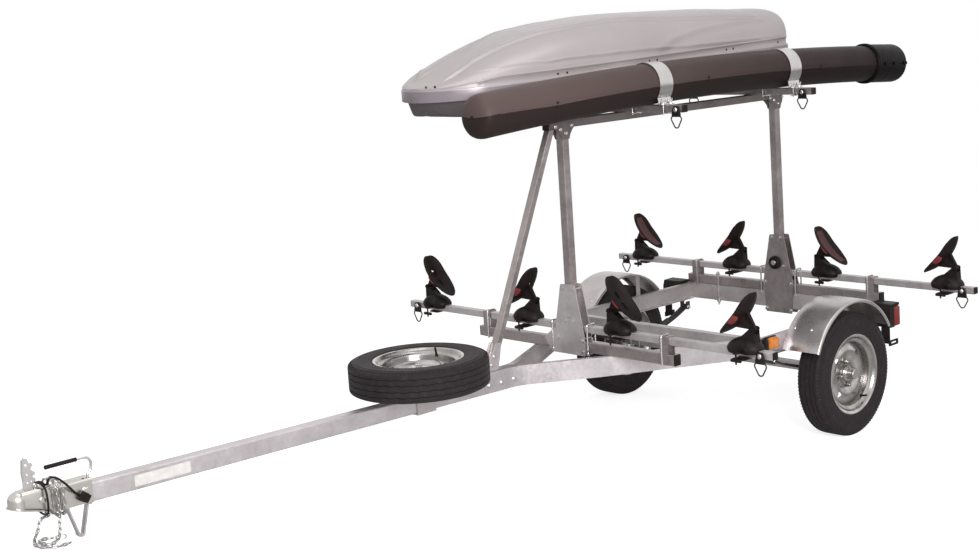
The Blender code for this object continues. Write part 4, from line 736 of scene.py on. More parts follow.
def makeChain():
    route = smoothRoute(chainRoute(), 0.022)
    pitch = chainSize["pitch"]
    fine = smoothRoute(chainRoute(), 0.002)
    spots, travelled = [fine[0]], 0.0
    for before, here in zip(fine, fine[1:]):
        travelled += (here - before).length
        if travelled >= pitch:
            spots.append(here)
            travelled -= pitch
    link = chainLink()
    shape = nothing
    side = Vector((0, 0, 1))
    for number, (start, end) in enumerate(zip(spots, spots[1:])):
        ahead = (end - start).normalized()
        side = (side - ahead * side.dot(ahead)).normalized()
        up = ahead.cross(side)
        turn = Matrix((ahead, side, up)).transposed().to_4x4()
        roll = Matrix.Rotation(radians(40 if number % 2 else -50), 4, "X")
        shape += link.by(Matrix.Translation((start + end) / 2) @ turn @ roll)
    chain = piece("safety_chain_links", shape, linkSteel, "frame", ["safety_chain"], soft=60)
    path = [deck @ point for point in route]
    ahead = (route[-1] - route[-2]).normalized()
    hanging = hookShape().facing(route[-1] + ahead * 0.004, ahead, pi / 2)
    hook = piece("chain_hook", hanging, linkSteel, "frame", soft=45)


def makeCable():
    half = plugSize["size"][0] / 2
    place = Matrix.Translation(Vector(plugSize["place"])) @ Matrix.Rotation(plugSize["turn"], 4, "Y")
    ahead = place @ Vector((half + 0.01, 0, 0))
    front = place @ Vector((half + plugSize["gap"], 0, 0))
    route = smoothRoute(cableRoute() + [tuple(ahead)], 0.0125) + [front]
    curve = bpy.data.curves.new("light_cable", "CURVE")
    curve.dimensions = "3D"
    curve.bevel_depth = cableSize["radius"]
    curve.bevel_resolution = 4
    curve.use_fill_caps = True
    line = curve.splines.new("POLY")
    line.points.add(len(route) - 1)
    for spot, point in zip(line.points, route):
        spot.co = (*point, 1.0)
    curve.materials.append(plastic)
    cable = placed("light_cable", curve, "frame", ["harness_cable"])
    sx, sy, sz = (value / 2 for value in plugSize["size"])
    steps = ((-sx, 0.86), (-sx + 0.002, 0.92), (-sx + 0.01, 0.92), (-sx + 0.0105, 1.0), (sx - 0.006, 1.0),
             (sx - 0.002, 0.9), (sx, 0.6))
    shell = loft([[(x, y * s, z * s) for y, z in roundedBox(2 * sy, 2 * sz, 0.003)] for x, s in steps])
    for step in range(4):  # grip ribs
        x = -0.002 + step * 0.004
        shell += prism(roundedBox(2 * sy + 0.0012, 2 * sz - 0.008, 0.002), "x", x, x + 0.0015)
    pins = nothing
    for y, z in ((0.004, 0.008), (-0.004, 0.008), (0.004, -0.006), (-0.004, -0.006)):
        pins += rod((-sx - 0.0002, y * 0.9, z), (-sx + 0.002, y * 0.9, z), 0.0016, 10, look=1)
    plug = piece("light_plug", shell + pins, [capPlastic, brass], "frame", ["harness_plug"],
                 place, soft=40)
    path = [deck @ point for point in route]


makeChain()
makeCable()
print("cords made")


# wheels
tyreSize = {"radius": 0.2655, "segments": 216,
            "grooves": (-0.033, -0.0115, 0.0115, 0.033), "grooveDepth": 0.0062, "grooveHalf": 0.002,
            "zigzag": 0.0016, "notch": 0.0042}
wheel = {"x": -0.966, "y": 0.651, "z": -0.3144}
rimSize = {"sides": 96, "boltCircle": 0.0508, "nuts": 4, "holeCircle": 0.1045, "holes": 4,
           "holeTurn": radians(50)}


def tyreShape():
    wall = [(0.1612, 0.047), (0.1628, 0.0508), (0.1668, 0.0522), (0.1712, 0.0548), (0.1768, 0.0582),
            (0.179, 0.0592), (0.1812, 0.0584), (0.1845, 0.059), (0.199, 0.0604), (0.215, 0.0609),
            (0.227, 0.0603), (0.229, 0.0609), (0.2325, 0.0609), (0.2345, 0.0598), (0.244, 0.058),
            (0.249, 0.0566)]
    shoulder = [(0.25, 0.0562), (0.255, 0.054), (0.2605, 0.0508), (0.264, 0.047), (0.2646, 0.044)]
    deep, half, top = tyreSize["grooveDepth"], tyreSize["grooveHalf"], tyreSize["radius"]
    tread, wander = [], set()
    for across in sorted(tyreSize["grooves"], reverse=True):
        for drop, beside in ((0.0003, half), (deep, half * 0.6), (deep, -half * 0.6), (0.0003, -half)):
            wander.add(len(tread))
            tread.append((top - drop, across + beside))
    near = wall + shoulder
    profile = near + tread + [(radius, -across) for radius, across in near[::-1]]
    first = len(wall)
    notched = set(range(first, first + 4)) | {len(profile) - 1 - spot for spot in range(first, first + 4)}

    def swell(index, spot, radius, along):
        if spot in notched and index % 2:
            return radius - tyreSize["notch"], along - copysign(0.0006, along)
        if spot - len(near) in wander:
            return radius, along + tyreSize["zigzag"] * sin(index * pi / 3)
        return radius, along

    return turned(profile, tyreSize["segments"], loop=True, swell=swell)


def rimShape(hub):
    sides = rimSize["sides"]
    barrel = [(0.1335, 0.0128), (0.1352, 0.0165), (0.1362, 0.029), (0.138, 0.035), (0.142, 0.0385),
              (0.1495, 0.0405), (0.153, 0.0425), (0.1555, 0.0465), (0.1585, 0.0515)]
    flange = [(0.1635, 0.0545), (0.1685, 0.0562), (0.1712, 0.0556), (0.1717, 0.0532), (0.1698, 0.0516),
              (0.164, 0.0505), (0.1606, 0.0478), (0.16, 0.043), (0.15, 0.0395)]
    barrel += flange + [(0.141, 0.034), (0.14, 0.02), (0.14, -0.034)]
    barrel += [(radius, -along) for radius, along in flange[::-1]]
    barrel += [(0.1575, -0.05), (0.15, -0.0425), (0.1372, -0.036), (0.137, 0.006)]
    hole = 0.0335 if hub else 0.0305
    front = [(hole, 0.0135), (hole + 0.004, 0.0128), (0.058, 0.013), (0.066, 0.0152), (0.076, 0.0205),
             (0.086, 0.024), (0.097, 0.0248), (0.108, 0.0232), (0.119, 0.0185), (0.128, 0.0148),
             (0.1365, 0.0142)]
    back = [(radius, along - 0.0034) for radius, along in front[::-1]]
    disc = turned(front + back, sides, loop=True)
    tools = nothing
    for number in range(rimSize["holes"]):
        angle = rimSize["holeTurn"] + number * pi / 2
        corner = []
        for turn in range(3):
            facing = turn * 2 * pi / 3
            corner += arc((0.0085 * cos(facing), 0.0105 * sin(facing)), 0.0052, facing - 1.0, facing + 1.0, 5)
        spot = (rimSize["holeCircle"] * cos(angle), rimSize["holeCircle"] * sin(angle), 0)
        tools += prism(corner, "z", 0.0, 0.04).moved(spot, (0, 0, angle))
    shape = turned(barrel, sides, loop=True) + carve(disc, tools)
    for number in range(rimSize["nuts"]):
        angle = radians(5) + number * pi / 2
        spot = (rimSize["boltCircle"] * cos(angle), rimSize["boltCircle"] * sin(angle), 0.0126)
        if hub:
            dome = [(0.008, 0.009), (0.0078, 0.013), (0.0062, 0.0165), (0.0035, 0.0185), (0, 0.019)]
            cone = turned([(0.0072, 0), (0.01, 0.0022), (0.01, 0.003)], 20)
            shape += (cone + hexHead(0.0175, 0.0115).moved((0, 0, 0.002)) + turned(dome, 20)).moved(spot)
        else:
            bore = [(0, 0.0003), (0.0066, 0.0003), (0.0072, 0.0006), (0, 0.0009)]
            shape += turned(bore, 18, look=1).moved(spot)
    if hub:
        cap = [(0.0345, 0.01), (0.034, 0.0215), (0.0325, 0.0235), (0.025, 0.024), (0.0232, 0.0262),
               (0.0228, 0.03), (0.0236, 0.0318), (0.0228, 0.0336), (0.0225, 0.054), (0.0215, 0.0585),
               (0.0188, 0.061), (0, 0.0616)]
        shape += turned(cap, 48)
        drum = [(0, -0.0395), (0.031, -0.0395), (0.032, -0.038), (0.032, -0.008), (0.062, -0.006),
                (0.062, 0.0085), (0, 0.0085)]
        shape += turned(drum, 48)
    return shape


def valve(turn):
    # rubber stem just inside the rim's step
    stem = [(0, 0), (0.0062, 0), (0.0066, 0.003), (0.0046, 0.008), (0.004, 0.024), (0.0044, 0.026),
            (0.0044, 0.034), (0.003, 0.036), (0, 0.036)]
    c, s = cos(turn), sin(turn)
    return turned(stem, 16, look=1).facing((0.1375 * c, 0.1375 * s, 0.03), (-0.25 * c, -0.25 * s, 1))


tread = tyreShape()
roadRim = rimShape(True)
spareRim = rimShape(False)
for label, side in bothSides:
    outward = Matrix.Rotation(-side * pi / 2, 4, "X")
    place = Matrix.Translation((wheel["x"], side * wheel["y"], wheel["z"])) @ outward
    piece(label + "_road_tyre", tread, tyre, label + "_wheel", [label + "_tyre"], place, soft=28)
    rim = roadRim + valve(radians(124 * side))
    piece(label + "_road_rim", rim, [rimZinc, plastic], label + "_wheel",
          [label + "_wheel_rim"], place, soft=32)
spare = {"x": 0.828, "z": -0.017}
lyingFlat = Matrix.Translation((spare["x"], 0, spare["z"]))
piece("spare_road_tyre", tread, tyre, "frame", ["spare_tyre"], lyingFlat, soft=28)
spareRim += valve(radians(200))
piece("spare_road_rim", spareRim, [rimZinc, plastic], "frame", ["spare_rim"], lyingFlat, soft=32)
retainer = turned([(0.046, 0.0002), (0.046, 0.005), (0.043, 0.0065), (0.02, 0.0085), (0, 0.0085)], 32)
retainer += hexHead(0.024, 0.012).moved((0, 0, 0.0085))
seat = Matrix.Translation((spare["x"], 0, spare["z"] + 0.013))
piece("spare_retainer", retainer, plated, "frame", at=seat)
print("wheels made")


# fenders
fender = {"x": -0.938, "z": -0.285, "radius": 0.3, "inner": 0.5556, "outer": 0.742, "front": radians(66),
          "rear": radians(61), "sheet": 0.0022, "steps": 56, "roll": 0.0075, "stays": (-0.87, -1.01),
          "railLow": -0.165}


def fenderShape():
    start = pi / 2 + fender["rear"]
    end = pi / 2 - fender["front"]
    inner, outer, radius, roll = (fender[key] for key in ("inner", "outer", "radius", "roll"))
    line = [(inner + 0.0015, -0.01), (inner + 0.0015, -0.003), (inner + 0.004, -0.0011)]
    line += [(inner + 0.05, 0.0), (outer - 0.06, 0.0)]
    line += arc((outer - roll - 0.0011, -roll - 0.0011), roll, pi / 2, 0, 8)
    line += [(outer - 0.0011, -roll - 0.004), (outer - 0.004, -roll - 0.0065),
             (outer - 0.0085, -roll - 0.005)]
    section = strip(line, fender["sheet"])
    rings = []
    for step in range(fender["steps"] + 1):
        angle = start + (end - start) * step / fender["steps"]
        tuck = 0.0004 if step in (0, fender["steps"]) else 0.0
        rings.append([(fender["x"] + (radius + drop - tuck) * cos(angle), across,
                       fender["z"] + (radius + drop - tuck) * sin(angle)) for across, drop in section])
    shape = loft(rings)
    for x in fender["stays"]:
        across = abs(x - fender["x"]) + 0.014
        under = fender["z"] + sqrt(radius ** 2 - across ** 2) - 0.002
        shape += block((x - 0.014, inner + 0.0002, fender["railLow"]), (x + 0.014, inner + 0.0038, under))
    rivets = nothing
    for y in (0.588, 0.672):
        for angle in (radians(43), radians(133)):
            out = Vector((cos(angle), 0, sin(angle)))
            spot = Vector((fender["x"], y, fender["z"])) + out * (radius + 0.0008)
            rivets += rivet(0.0062, look=1).facing(spot, out)
    for x in fender["stays"]:
        rivets += bolt(0.008, look=1).facing((x, inner + 0.0038, -0.12), (0, 1, 0))
    return shape + rivets


for label, side in bothSides:
    piece(label + "_rolled_fender", fenderShape().on(side), [sheetSteel, plated], "frame",
          [label + "_fender"], soft=38)


# tail lights and side markers
lamp = {"front": -1.312, "rear": -1.388, "inner": 0.5554, "outer": 0.664, "top": -0.081, "bottom": -0.187,
        "lens": 0.04, "lensRear": -1.397, "lensMiddle": -0.1405, "lensHeight": 0.088,
        "leg": (0.044, 0.074), "legAt": (0.636, -0.222), "tab": (0.074, 0.026), "tabAt": (-1.3455, -0.256),
        "slot": (0.04, 0.007), "slotAt": (-1.3475, -0.256), "tabFaces": (0.6545, 0.658)}
marker = {"at": (-0.58, -0.117), "size": (0.07, 0.052), "seat": 0.556, "face": 0.569,
          "tabAt": (-0.54, -0.119), "tab": (0.016, 0.046), "tabFace": 0.579, "lensX": -0.582,
          "lens": (0.058, 0.046),
          "dome": ((0.568, 1.0), (0.579, 1.0), (0.586, 0.95), (0.59, 0.84), (0.5915, 0.66))}


def tailLight():
    inner, outer, rear, front = (lamp[key] for key in ("inner", "outer", "rear", "front"))
    top, bottom = lamp["top"], lamp["bottom"]
    split = rear + lamp["lens"]
    body = [(split, bottom + 0.001), (front - 0.007, bottom + 0.001), (front - 0.001, bottom + 0.009),
            (front - 0.001, top - 0.03), (front - 0.011, top - 0.001), (rear, top + 0.0005),
            (rear - 0.002, top - 0.01), (rear + 0.014, top - 0.0145), (split, top - 0.0145)]
    housing = prism(body, "y", inner, outer - 0.0005)
    middle = 0.5 * (inner + outer)
    raised = roundedBox(0.052, 0.074, 0.008, 3, (middle, 0.5 * (top + bottom) - 0.006))
    housing += prism(raised, "x", front - 0.0015, front + 0.0005)
    lensRings = []
    back = lamp["lensRear"]
    for x, s in ((split + 0.001, 1.0), (back + 0.008, 1.0), (back + 0.002, 0.965), (back + 0.0005, 0.9)):
        lensRings.append([(x, middle + y * s, lamp["lensMiddle"] + z * s) for y, z in
                          roundedBox(outer - inner - 0.001, lamp["lensHeight"], 0.007, 4)])
    red = loft(lensRings, look=1)
    rib = nothing
    for z in (-0.128, -0.154):
        line = roundedBox(0.0036, 0.002, 0.0008, 2, (outer - 0.0012, z))
        rib += prism(line, "x", rear + 0.006, split - 0.003, look=1)
    screws = nothing
    for y in (inner + 0.014, outer - 0.014):
        screws += rivet(0.0032, look=2).facing((back + 0.0009, y, -0.141), (-1, 0, 0))
    # black bracket that hangs below, with a slotted tab turned back along the side
    leg = prism(roundedBox(*lamp["leg"], 0.004, 3, lamp["legAt"]), "x", front - 0.007, front - 0.003)
    tab = carve(prism(roundedBox(*lamp["tab"], 0.005, 3, lamp["tabAt"]), "y", *lamp["tabFaces"]),
                prism(roundedBox(*lamp["slot"], 0.0033, 4, lamp["slotAt"]), "y", 0.64, 0.67))
    return housing + red + rib + screws + leg + tab


def sideMarker():
    body = prism(roundedBox(*marker["size"], 0.006, 4, marker["at"]), "y", marker["seat"], marker["face"])
    body += prism(roundedBox(*marker["tab"], 0.004, 3, marker["tabAt"]), "y", marker["seat"],
                  marker["tabFace"])
    rings = []
    for y, s in marker["dome"]:
        outline = roundedBox(*marker["lens"], 0.009, 4)
        rings.append([(marker["lensX"] + x * s, y, marker["at"][1] + z * s) for x, z in outline])
    return body + loft(rings, look=1)


for label, side in bothSides:
    piece(label + "_rear_lamp", tailLight().on(side), [capPlastic, redLens, plated], "frame",
          [label + "_tail_light"], soft=35, bevel=0.0016)
    piece(label + "_side_marker", sideMarker().on(side), [capPlastic, amberLens], "frame", soft=35)
print("fenders and lamps made")


# leaf springs
spring = {"front": -0.62, "rear": -1.32, "eyeZ": -0.205, "y": 0.53, "width": 0.04, "seat": -0.2927,
          "leaf": 0.0056}


def springShape():
    width, seat, eyeZ = spring["width"], spring["seat"], spring["eyeZ"]
    low = spring["y"] - width / 2
    high = low + width
    shape = nothing
    for leaf, share in enumerate((1.0, 0.66, 0.36)):
        path = []
        for step in range(33):
            t = 0.5 + (step / 32 - 0.5) * share
            x = spring["front"] + (spring["rear"] - spring["front"]) * t
            sag = abs(2 * t - 1) ** 2
            path.append((x, seat + 0.0031 + (eyeZ - seat) * sag + 0.0062 * leaf))
        shape += prism(strip(path, spring["leaf"]), "y", low + 0.0004 * leaf, high - 0.0004 * leaf)
    for x in (spring["front"], spring["rear"]):
        eye = turned([(0.006, 0), (0.0138, 0), (0.0138, width), (0.006, width)], 28, loop=True)
        shape += eye.facing((x, low, eyeZ), (0, 1, 0))
        for y in (low - 0.0002, high - 0.0038):
            plate = [(x - 0.0135, -0.178), (x + 0.0135, -0.178)] + arc((x, eyeZ), 0.0135, 0, -pi, 10)
            shape += prism(plate, "y", y, y + 0.004)
        shape += bolt(0.009, look=1).facing((x, high + 0.0002, eyeZ), (0, 1, 0))
        shape += nut(0.009, 0.005, look=1).facing((x, low - 0.0002, eyeZ), (0, -1, 0))
    axle = wheel["x"]
    shape += block((axle - 0.042, low - 0.004, -0.278), (axle + 0.042, high + 0.004, -0.2732), 1)
    for x in (-0.026, 0.026):
        clamp = uBolt(width + 0.014, 0.064, 0.0045, look=1)
        shape += clamp.moved((axle + x, spring["y"], -0.334), (pi, 0, pi / 2))
        for y in (low - 0.0025, high + 0.0025):
            shape += nut(0.008, 0.006, look=1).facing((axle + x, y, -0.2732), (0, 0, 1))
    return shape


for label, side in bothSides:
    piece(label + "_spring_pack", springShape().on(side), [paint, plated], "frame",
          [label + "_leaf_spring"], soft=35)


# saddles: one mesh for each kind of base and of pad, turned round for the other side
saddle = {"across": (-0.86, -0.264, 0.264, 0.897), "halfLength": 0.075, "halfWidth": 0.05,
          "pivotOut": 0.045, "pivotUp": 0.092, "padTop": (0.047, 0.229), "padBelly": (0.022, 0.112),
          "padTip": (-0.11, 0.062), "padHalf": 0.05, "thick": 0.0105, "cup": -0.02, "knobX": 0.06,
          "knobZ": -0.021, "slots": ((0.375, 0.0085, 0.018), (0.62, 0.0085, 0.02))}
padOutline = ((0.0, 0.3), (0.02, 0.5), (0.06, 0.68), (0.14, 0.86), (0.22, 0.94), (0.31, 0.98),
              (0.48, 1.0), (0.6, 0.99), (0.7, 0.94), (0.8, 0.84), (0.88, 0.71), (0.94, 0.55),
              (0.98, 0.36), (1.0, 0.2))


def between(table, t):
    for (low, a), (high, b) in zip(table, table[1:]):
        if t <= high:
            share = (t - low) / (high - low)
            return a + (b - a) * share
    return table[-1][1]


def padPoint(t):
    a, b, c = saddle["padTop"], saddle["padBelly"], saddle["padTip"]
    y = (1 - t) ** 2 * a[0] + 2 * t * (1 - t) * b[0] + t * t * c[0]
    z = (1 - t) ** 2 * a[1] + 2 * t * (1 - t) * b[1] + t * t * c[1]
    return Vector((y - saddle["pivotOut"], z - saddle["pivotUp"]))


def padFrame(t):
    ahead = (padPoint(min(t + 0.01, 1)) - padPoint(max(t - 0.01, 0))).normalized()
    return padPoint(t), ahead, Vector((-ahead.y, ahead.x))


def cupAt(s):
    # how far the leaf's long edges curl toward the boat
    return saddle["cup"] * s * s


def padShape(slotted):
    rows, columns = 44, 20
    sheets = []
    for side in (1, -1):
        grid = []
        for row in range(rows + 1):
            t = row / rows
            spot, ahead, normal = padFrame(t)
            half = saddle["padHalf"] * between(padOutline, t)
            line = []
            for column in range(columns + 1):
                s = 2 * column / columns - 1
                thick = saddle["thick"] * (0.5 + 0.5 * sin(pi * min(max(t, 0.04), 0.97)))
                thick *= 1 - 0.45 * abs(s) ** 6
                rim = 0.001 if 0.62 < abs(s) < 0.9 and 0.04 < t < 0.96 else 0.0
                ridge = 0.0009 * cos(s * pi * 7) if abs(s) < 0.62 and side < 0 else 0.0
                lift = side * (thick / 2 + rim * (side > 0)) + cupAt(s * between(padOutline, t)) + ridge * 0.5
                middle = spot + normal * lift
                line.append((half * s, *middle))
            grid.append(line)
        sheets.append(grid)
    solid = twoSkins(*sheets)
    tools = nothing
    for t, half, reach in saddle["slots"] if slotted else ():
        spot, ahead, normal = padFrame(t)
        slot = roundedBox(2 * half, 2 * reach, half * 0.92, 5)
        rings = [[Vector((x, *(spot + ahead * u + normal * off))) for x, u in slot] for off in (-0.03, 0.03)]
        tools += loft(rings)
    solid = carve(solid, tools) if slotted else solid
    # web between the leaf and its pivot, with a rib on each side
    lug = arc((0, 0), 0.0095, radians(-165), radians(-5), 10)
    lug += [tuple(padPoint(t)) for t in (0.34, 0.42, 0.5, 0.58, 0.66, 0.74)]
    solid += prism(lug, "x", -0.0068, 0.0068)
    rib = [(0.006, 0.003), tuple(padPoint(0.44)), tuple(padPoint(0.56)), (-0.006, -0.003)]
    solid += prism(rib, "x", -0.0125, 0.0125)
    trim = nothing
    for edge in (-1, 1):  # coloured pad under each long edge, at the back
        rings = []
        for step in range(9):
            t = 0.46 + 0.2 * step / 8
            spot, ahead, normal = padFrame(t)
            thick = 0.0035 + 0.0055 * sin(pi * (0.1 + 0.8 * step / 8))
            reach = (0.036, saddle["padHalf"] * between(padOutline, t) + 0.0014)
            line = [(x, cupAt(x / saddle["padHalf"])) for x in reach]
            corners = [(x, z + 0.002) for x, z in line] + [(x, z + 0.002 + thick) for x, z in line[::-1]]
            rings.append([Vector((edge * x, *(spot + normal * z))) for x, z in corners])
        trim += loft(rings, look=1)
    if not slotted:  # plain soft insert over the face
        rings = []
        for step in range(25):
            t = 0.1 + 0.82 * step / 24
            spot, ahead, normal = padFrame(t)
            share = between(padOutline, t) * 0.5
            half = saddle["padHalf"] * share
            eighths = [k / 4 for k in range(-4, 5)]
            top = [(half * s, cupAt(share * s) - 0.0058 - 0.0016 * (1 - s ** 4)) for s in eighths]
            under = [(x, z + 0.004) for x, z in top[::-1]]
            rings.append([Vector((x, *(spot + normal * z))) for x, z in top + under])
        trim += loft(rings, look=2)
    return solid + trim


def baseShape(knobSide):
    levels = ((0.0, 0.9), (0.0012, 0.935), (0.008, 0.975), (0.018, 1.0), (0.027, 0.955), (0.036, 0.86),
              (0.044, 0.73), (0.051, 0.56), (0.0562, 0.38), (0.0592, 0.22), (0.06, 0.08))
    rings = []
    for height, share in levels:
        ring = []
        for step in range(72):
            angle = 2 * pi * step / 72
            c, s = cos(angle), sin(angle)
            waist = 1 - 0.2 * abs(c) ** 16 * (1 if height < 0.05 else 0.5)
            x = saddle["halfWidth"] * share * waist * copysign(abs(c) ** 0.82, c)
            y = saddle["halfLength"] * share * copysign(abs(s) ** 0.86, s)
            ring.append((x, y, height))
        rings.append(ring)
    dome = loft(rings)
    slot = 0.0153
    dome = carve(dome, block((-slot, -0.1, -0.03), (slot, 0.1, slot)))
    out, up = saddle["pivotOut"], saddle["pivotUp"]
    neck = [(-0.026, 0.047), (0.058, 0.02)] + arc((out, up), 0.0098, radians(10), radians(150), 12)
    shape = dome
    oval = [(0.012 * a, 0.007 * b) for a, b in circle(1, 20)]
    steps = ((0, 1.0), (0.002, 0.94), (0.003, 0.72))
    pip = loft([[(a * s, b * s, h) for a, b in oval] for h, s in steps])
    for side in (1, -1):
        inner, outer = side * 0.013, side * 0.0165
        shape += prism(neck, "x", min(inner, outer), max(inner, outer))
        shape += bolt(0.0085, look=1).facing((outer, out, up), (side, 0, 0), 0.3)
        for end in (1, -1):  # raised pip on each lobe
            turn = radians(28) * end
            shape += pip.facing((side * 0.0415, end * 0.036, 0.02), (side * cos(turn), sin(turn), 0.25))
    shape += prism([(-0.025, 0.0475), (0.0575, 0.0205), (0.0546, 0.074), (0.014, 0.074)], "x", -0.0132,
                   0.0132)
    shape += prism(roundedBox(0.077, 0.0062, 0.0015, 2, (0.01135, -0.0189)), "y", -0.026, 0.026)
    x, z = knobSide * saddle["knobX"], saddle["knobZ"]
    stem = rod((x, 0, 0.01), (x, 0, z - 0.015), 0.0036, 14)
    ear = prism(roundedBox(0.03, 0.02, 0.005, 3, (x - knobSide * 0.0065, 0)), "z", 0.004, 0.012)
    half = [(0, 0.024), (0.0052, 0.0234), (0.0068, 0.02), (0.0064, 0.009), (0.007, 0.005)]
    knob = turned([(radius, -along) for radius, along in half] + half[::-1], 20)
    return shape + ear + stem + knob.facing((x, 0, z), (0, 1, 0))


made = {}


def shared(kind, name, build, looks, body, node, at):
    # the first of its kind is built, and the others use its mesh
    if kind in made:
        placed(name, made[kind], body, [node], at)
    else:
        made[kind] = piece(name, build(kind[1]), looks, body, [node], at, soft=40).data


for label, x in (("front", 0.0), ("rear", rearX)):
    for number, (y, side) in enumerate(zip(saddle["across"], (-1, 1, -1, 1)), 1):
        name = f"{label}_{number}"
        slotted = label == "front" or side > 0
        turn = Matrix.Identity(4) if side > 0 else Matrix.Rotation(pi, 4, "Z")
        at = Matrix.Translation((x, y, 0)) @ turn
        hinge = Matrix.Translation((x, y + side * saddle["pivotOut"], saddle["pivotUp"])) @ turn
        shared(("base", side), "cradle_base_" + name, baseShape, [plastic, padRubber, plated],
               "frame", "saddle_base_" + name, at)
        shared(("pad", slotted), "cradle_pad_" + name, padShape, [padRubber, redTrim, redFace],
               "pad_" + name, "saddle_pad_" + name, hinge)
print("springs and saddles made")


# cargo box
box = {"y": -0.285, "split": 0.981, "tilt": -0.033, "lip": 0.049, "inset": 0.01, "floor": 0.8871,
       "fine": 110, "around": 132, "recess": 0.0035, "recessHeight": 0.03, "tuck": 0.034,
       "screws": (0.507, 0.493, 0.029, -0.017, -0.48, -0.526, -0.98, -1.026, -1.345)}
# stations along its length: x, half width, lid's top, underside's rise, roundness
boxStations = ((0.516, 0.036, 1.021, 0.05, 0.62), (0.496, 0.098, 1.028, 0.03, 0.62),
               (0.451, 0.166, 1.043, 0.016, 0.62), (0.351, 0.242, 1.085, 0.008, 0.62),
               (0.12, 0.305, 1.169, 0.002, 0.62), (-0.1, 0.336, 1.223, 0.0, 0.62),
               (-0.6, 0.365, 1.266, 0.0, 0.62), (-1.05, 0.374, 1.262, 0.0, 0.57),
               (-1.33, 0.381, 1.249, 0.003, 0.5), (-1.41, 0.375, 1.248, 0.01, 0.47),
               (-1.445, 0.348, 1.217, 0.025, 0.46), (-1.46, 0.309, 1.167, 0.05, 0.46))
# folds in the lid: places as x and degrees round from the side, then width, height, and where they fade out
creases = ({"places": ((0.45, 70), (0.405, 75.5), (0.285, 82), (0.135, 80.5), (0.045, 77.5),
                       (-0.135, 69.5), (-0.355, 67), (-0.605, 55.5), (-0.9, 49), (-1.28, 41)),
            "width": 2.2, "height": 0.0065, "start": 0.47, "end": -1.27},
           {"places": ((-0.5, 8), (-0.555, 11), (-0.65, 20), (-0.78, 25.5), (-0.915, 29), (-1.08, 32.5),
                       (-1.38, 34)), "width": 3.2, "height": 0.0055, "start": -0.52, "end": -1.3},
           {"places": ((0.45, 68), (0.4, 65.5), (0.27, 33.5), (0.06, 18), (-0.195, 14), (-0.485, 11.5),
                       (-0.795, 9), (-1.4, 5)), "width": 1.5, "height": 0.0028, "start": 0.46,
            "end": -1.41})


def boxSection(x):
    # a smooth curve through the stations
    rows = sorted(boxStations, reverse=True)
    for spot in range(len(rows) - 1):
        if rows[spot][0] >= x >= rows[spot + 1][0]:
            break
    a, b = rows[spot], rows[spot + 1]
    t = (a[0] - x) / (a[0] - b[0])

    def slope(k, column):
        low, high = rows[max(k - 1, 0)], rows[min(k + 1, len(rows) - 1)]
        if k in (0, len(rows) - 1):
            return (high[column] - low[column]) / (low[0] - high[0])
        left = (rows[k][column] - low[column]) / (low[0] - rows[k][0])
        right = (high[column] - rows[k][column]) / (rows[k][0] - high[0])
        return 0.0 if left * right <= 0 else 2 * left * right / (left + right)

    span = a[0] - b[0]
    values = []
    for column in range(1, 5):
        m0, m1 = slope(spot, column) * span, slope(spot + 1, column) * span
        t2, t3 = t * t, t * t * t
        values.append((2 * t3 - 3 * t2 + 1) * a[column] + (t3 - 2 * t2 + t) * m0
                      + (3 * t2 - 2 * t3) * b[column] + (t3 - t2) * m1)
    return values


def boxXs():
    xs = []
    front, rear = boxStations[0][0], boxStations[-1][0]
    for step in range(box["fine"] + 1):
        t = step / box["fine"]
        u = 0.5 - 0.5 * cos(pi * t)  # closer together at both ends
        xs.append(front + (rear - front) * (0.55 * u + 0.45 * t))
    return xs


def smoothstep(low, high, value):
    t = min(max((value - low) / (high - low), 0.0), 1.0)
    return t * t * (3 - 2 * t)


def splitAt(x):
    return box["split"] + box["tilt"] * x


def lidRing(x, inset=0.0):
    half, top, _, roundness = boxSection(x)
    low = splitAt(x)
    ledge = low + box["lip"]
    rise = max(top - ledge, 0.004)
    side = half - inset
    bare = side - 0.0062
    tall = min(box["recessHeight"], 0.34 * rise)
    deep = box["recess"] * min(rise / 0.1, 1.0)
    # rim band, the ledge on its top, a recess above that, then the bead along the shoulder
    edge = [(side - 0.004, low + 0.0005), (side - 0.0008, low + 0.002), (side, low + 0.005)]
    edge += [(side - back, ledge - drop) for back, drop in ((0, 0.005), (0.0006, 0.0015), (0.002, 0.0002))]
    edge += [(bare - deep + 0.0006, ledge), (bare - deep, ledge + 0.0012 * tall / 0.03)]
    edge += [(bare - deep, ledge + 0.8 * tall), (bare - deep + 0.0008, ledge + 0.86 * tall)]
    edge += [(bare + out, ledge + up * tall) for out, up in ((0.0004, 0.96), (0.001, 1.03), (0.0004, 1.12))]
    folds = []
    for crease in creases:
        fade = smoothstep(0, 0.06, crease["start"] - x) * smoothstep(0, 0.05, x - crease["end"])
        if fade > 0:
            places = tuple(sorted(crease["places"]))
            folds.append((between(places, min(max(x, places[0][0]), places[-1][0])), crease, fade))
    first = asin(min(1.2 * tall / rise, 0.98) ** (1 / (1.2 * roundness)))
    crown = []
    count = box["around"]
    for step in range(count + 1):
        angle = pi - first - (pi - 2 * first) * step / count
        c, s = cos(angle), sin(angle)
        across = copysign(abs(c) ** roundness, c)
        up = s ** (1.2 * roundness)
        bearing = degrees(min(angle, pi - angle))
        lift = 0.0
        for peak, crease, fade in folds:
            wide = crease["width"]
            ridge = exp(-((bearing - peak) / wide) ** 2)
            ditch = exp(-((bearing - peak + 2.6 * wide) / (1.5 * wide)) ** 2)
            lift += crease["height"] * (ridge - 0.55 * ditch) * fade
        out = Vector((c * 0.6, s)).normalized()
        crown.append((bare * across + out.x * lift, ledge + (rise - inset) * up + out.y * lift))
    left = [(-a, b) for a, b in edge]
    return [(x, box["y"] + a, b) for a, b in left + crown + edge[::-1]]


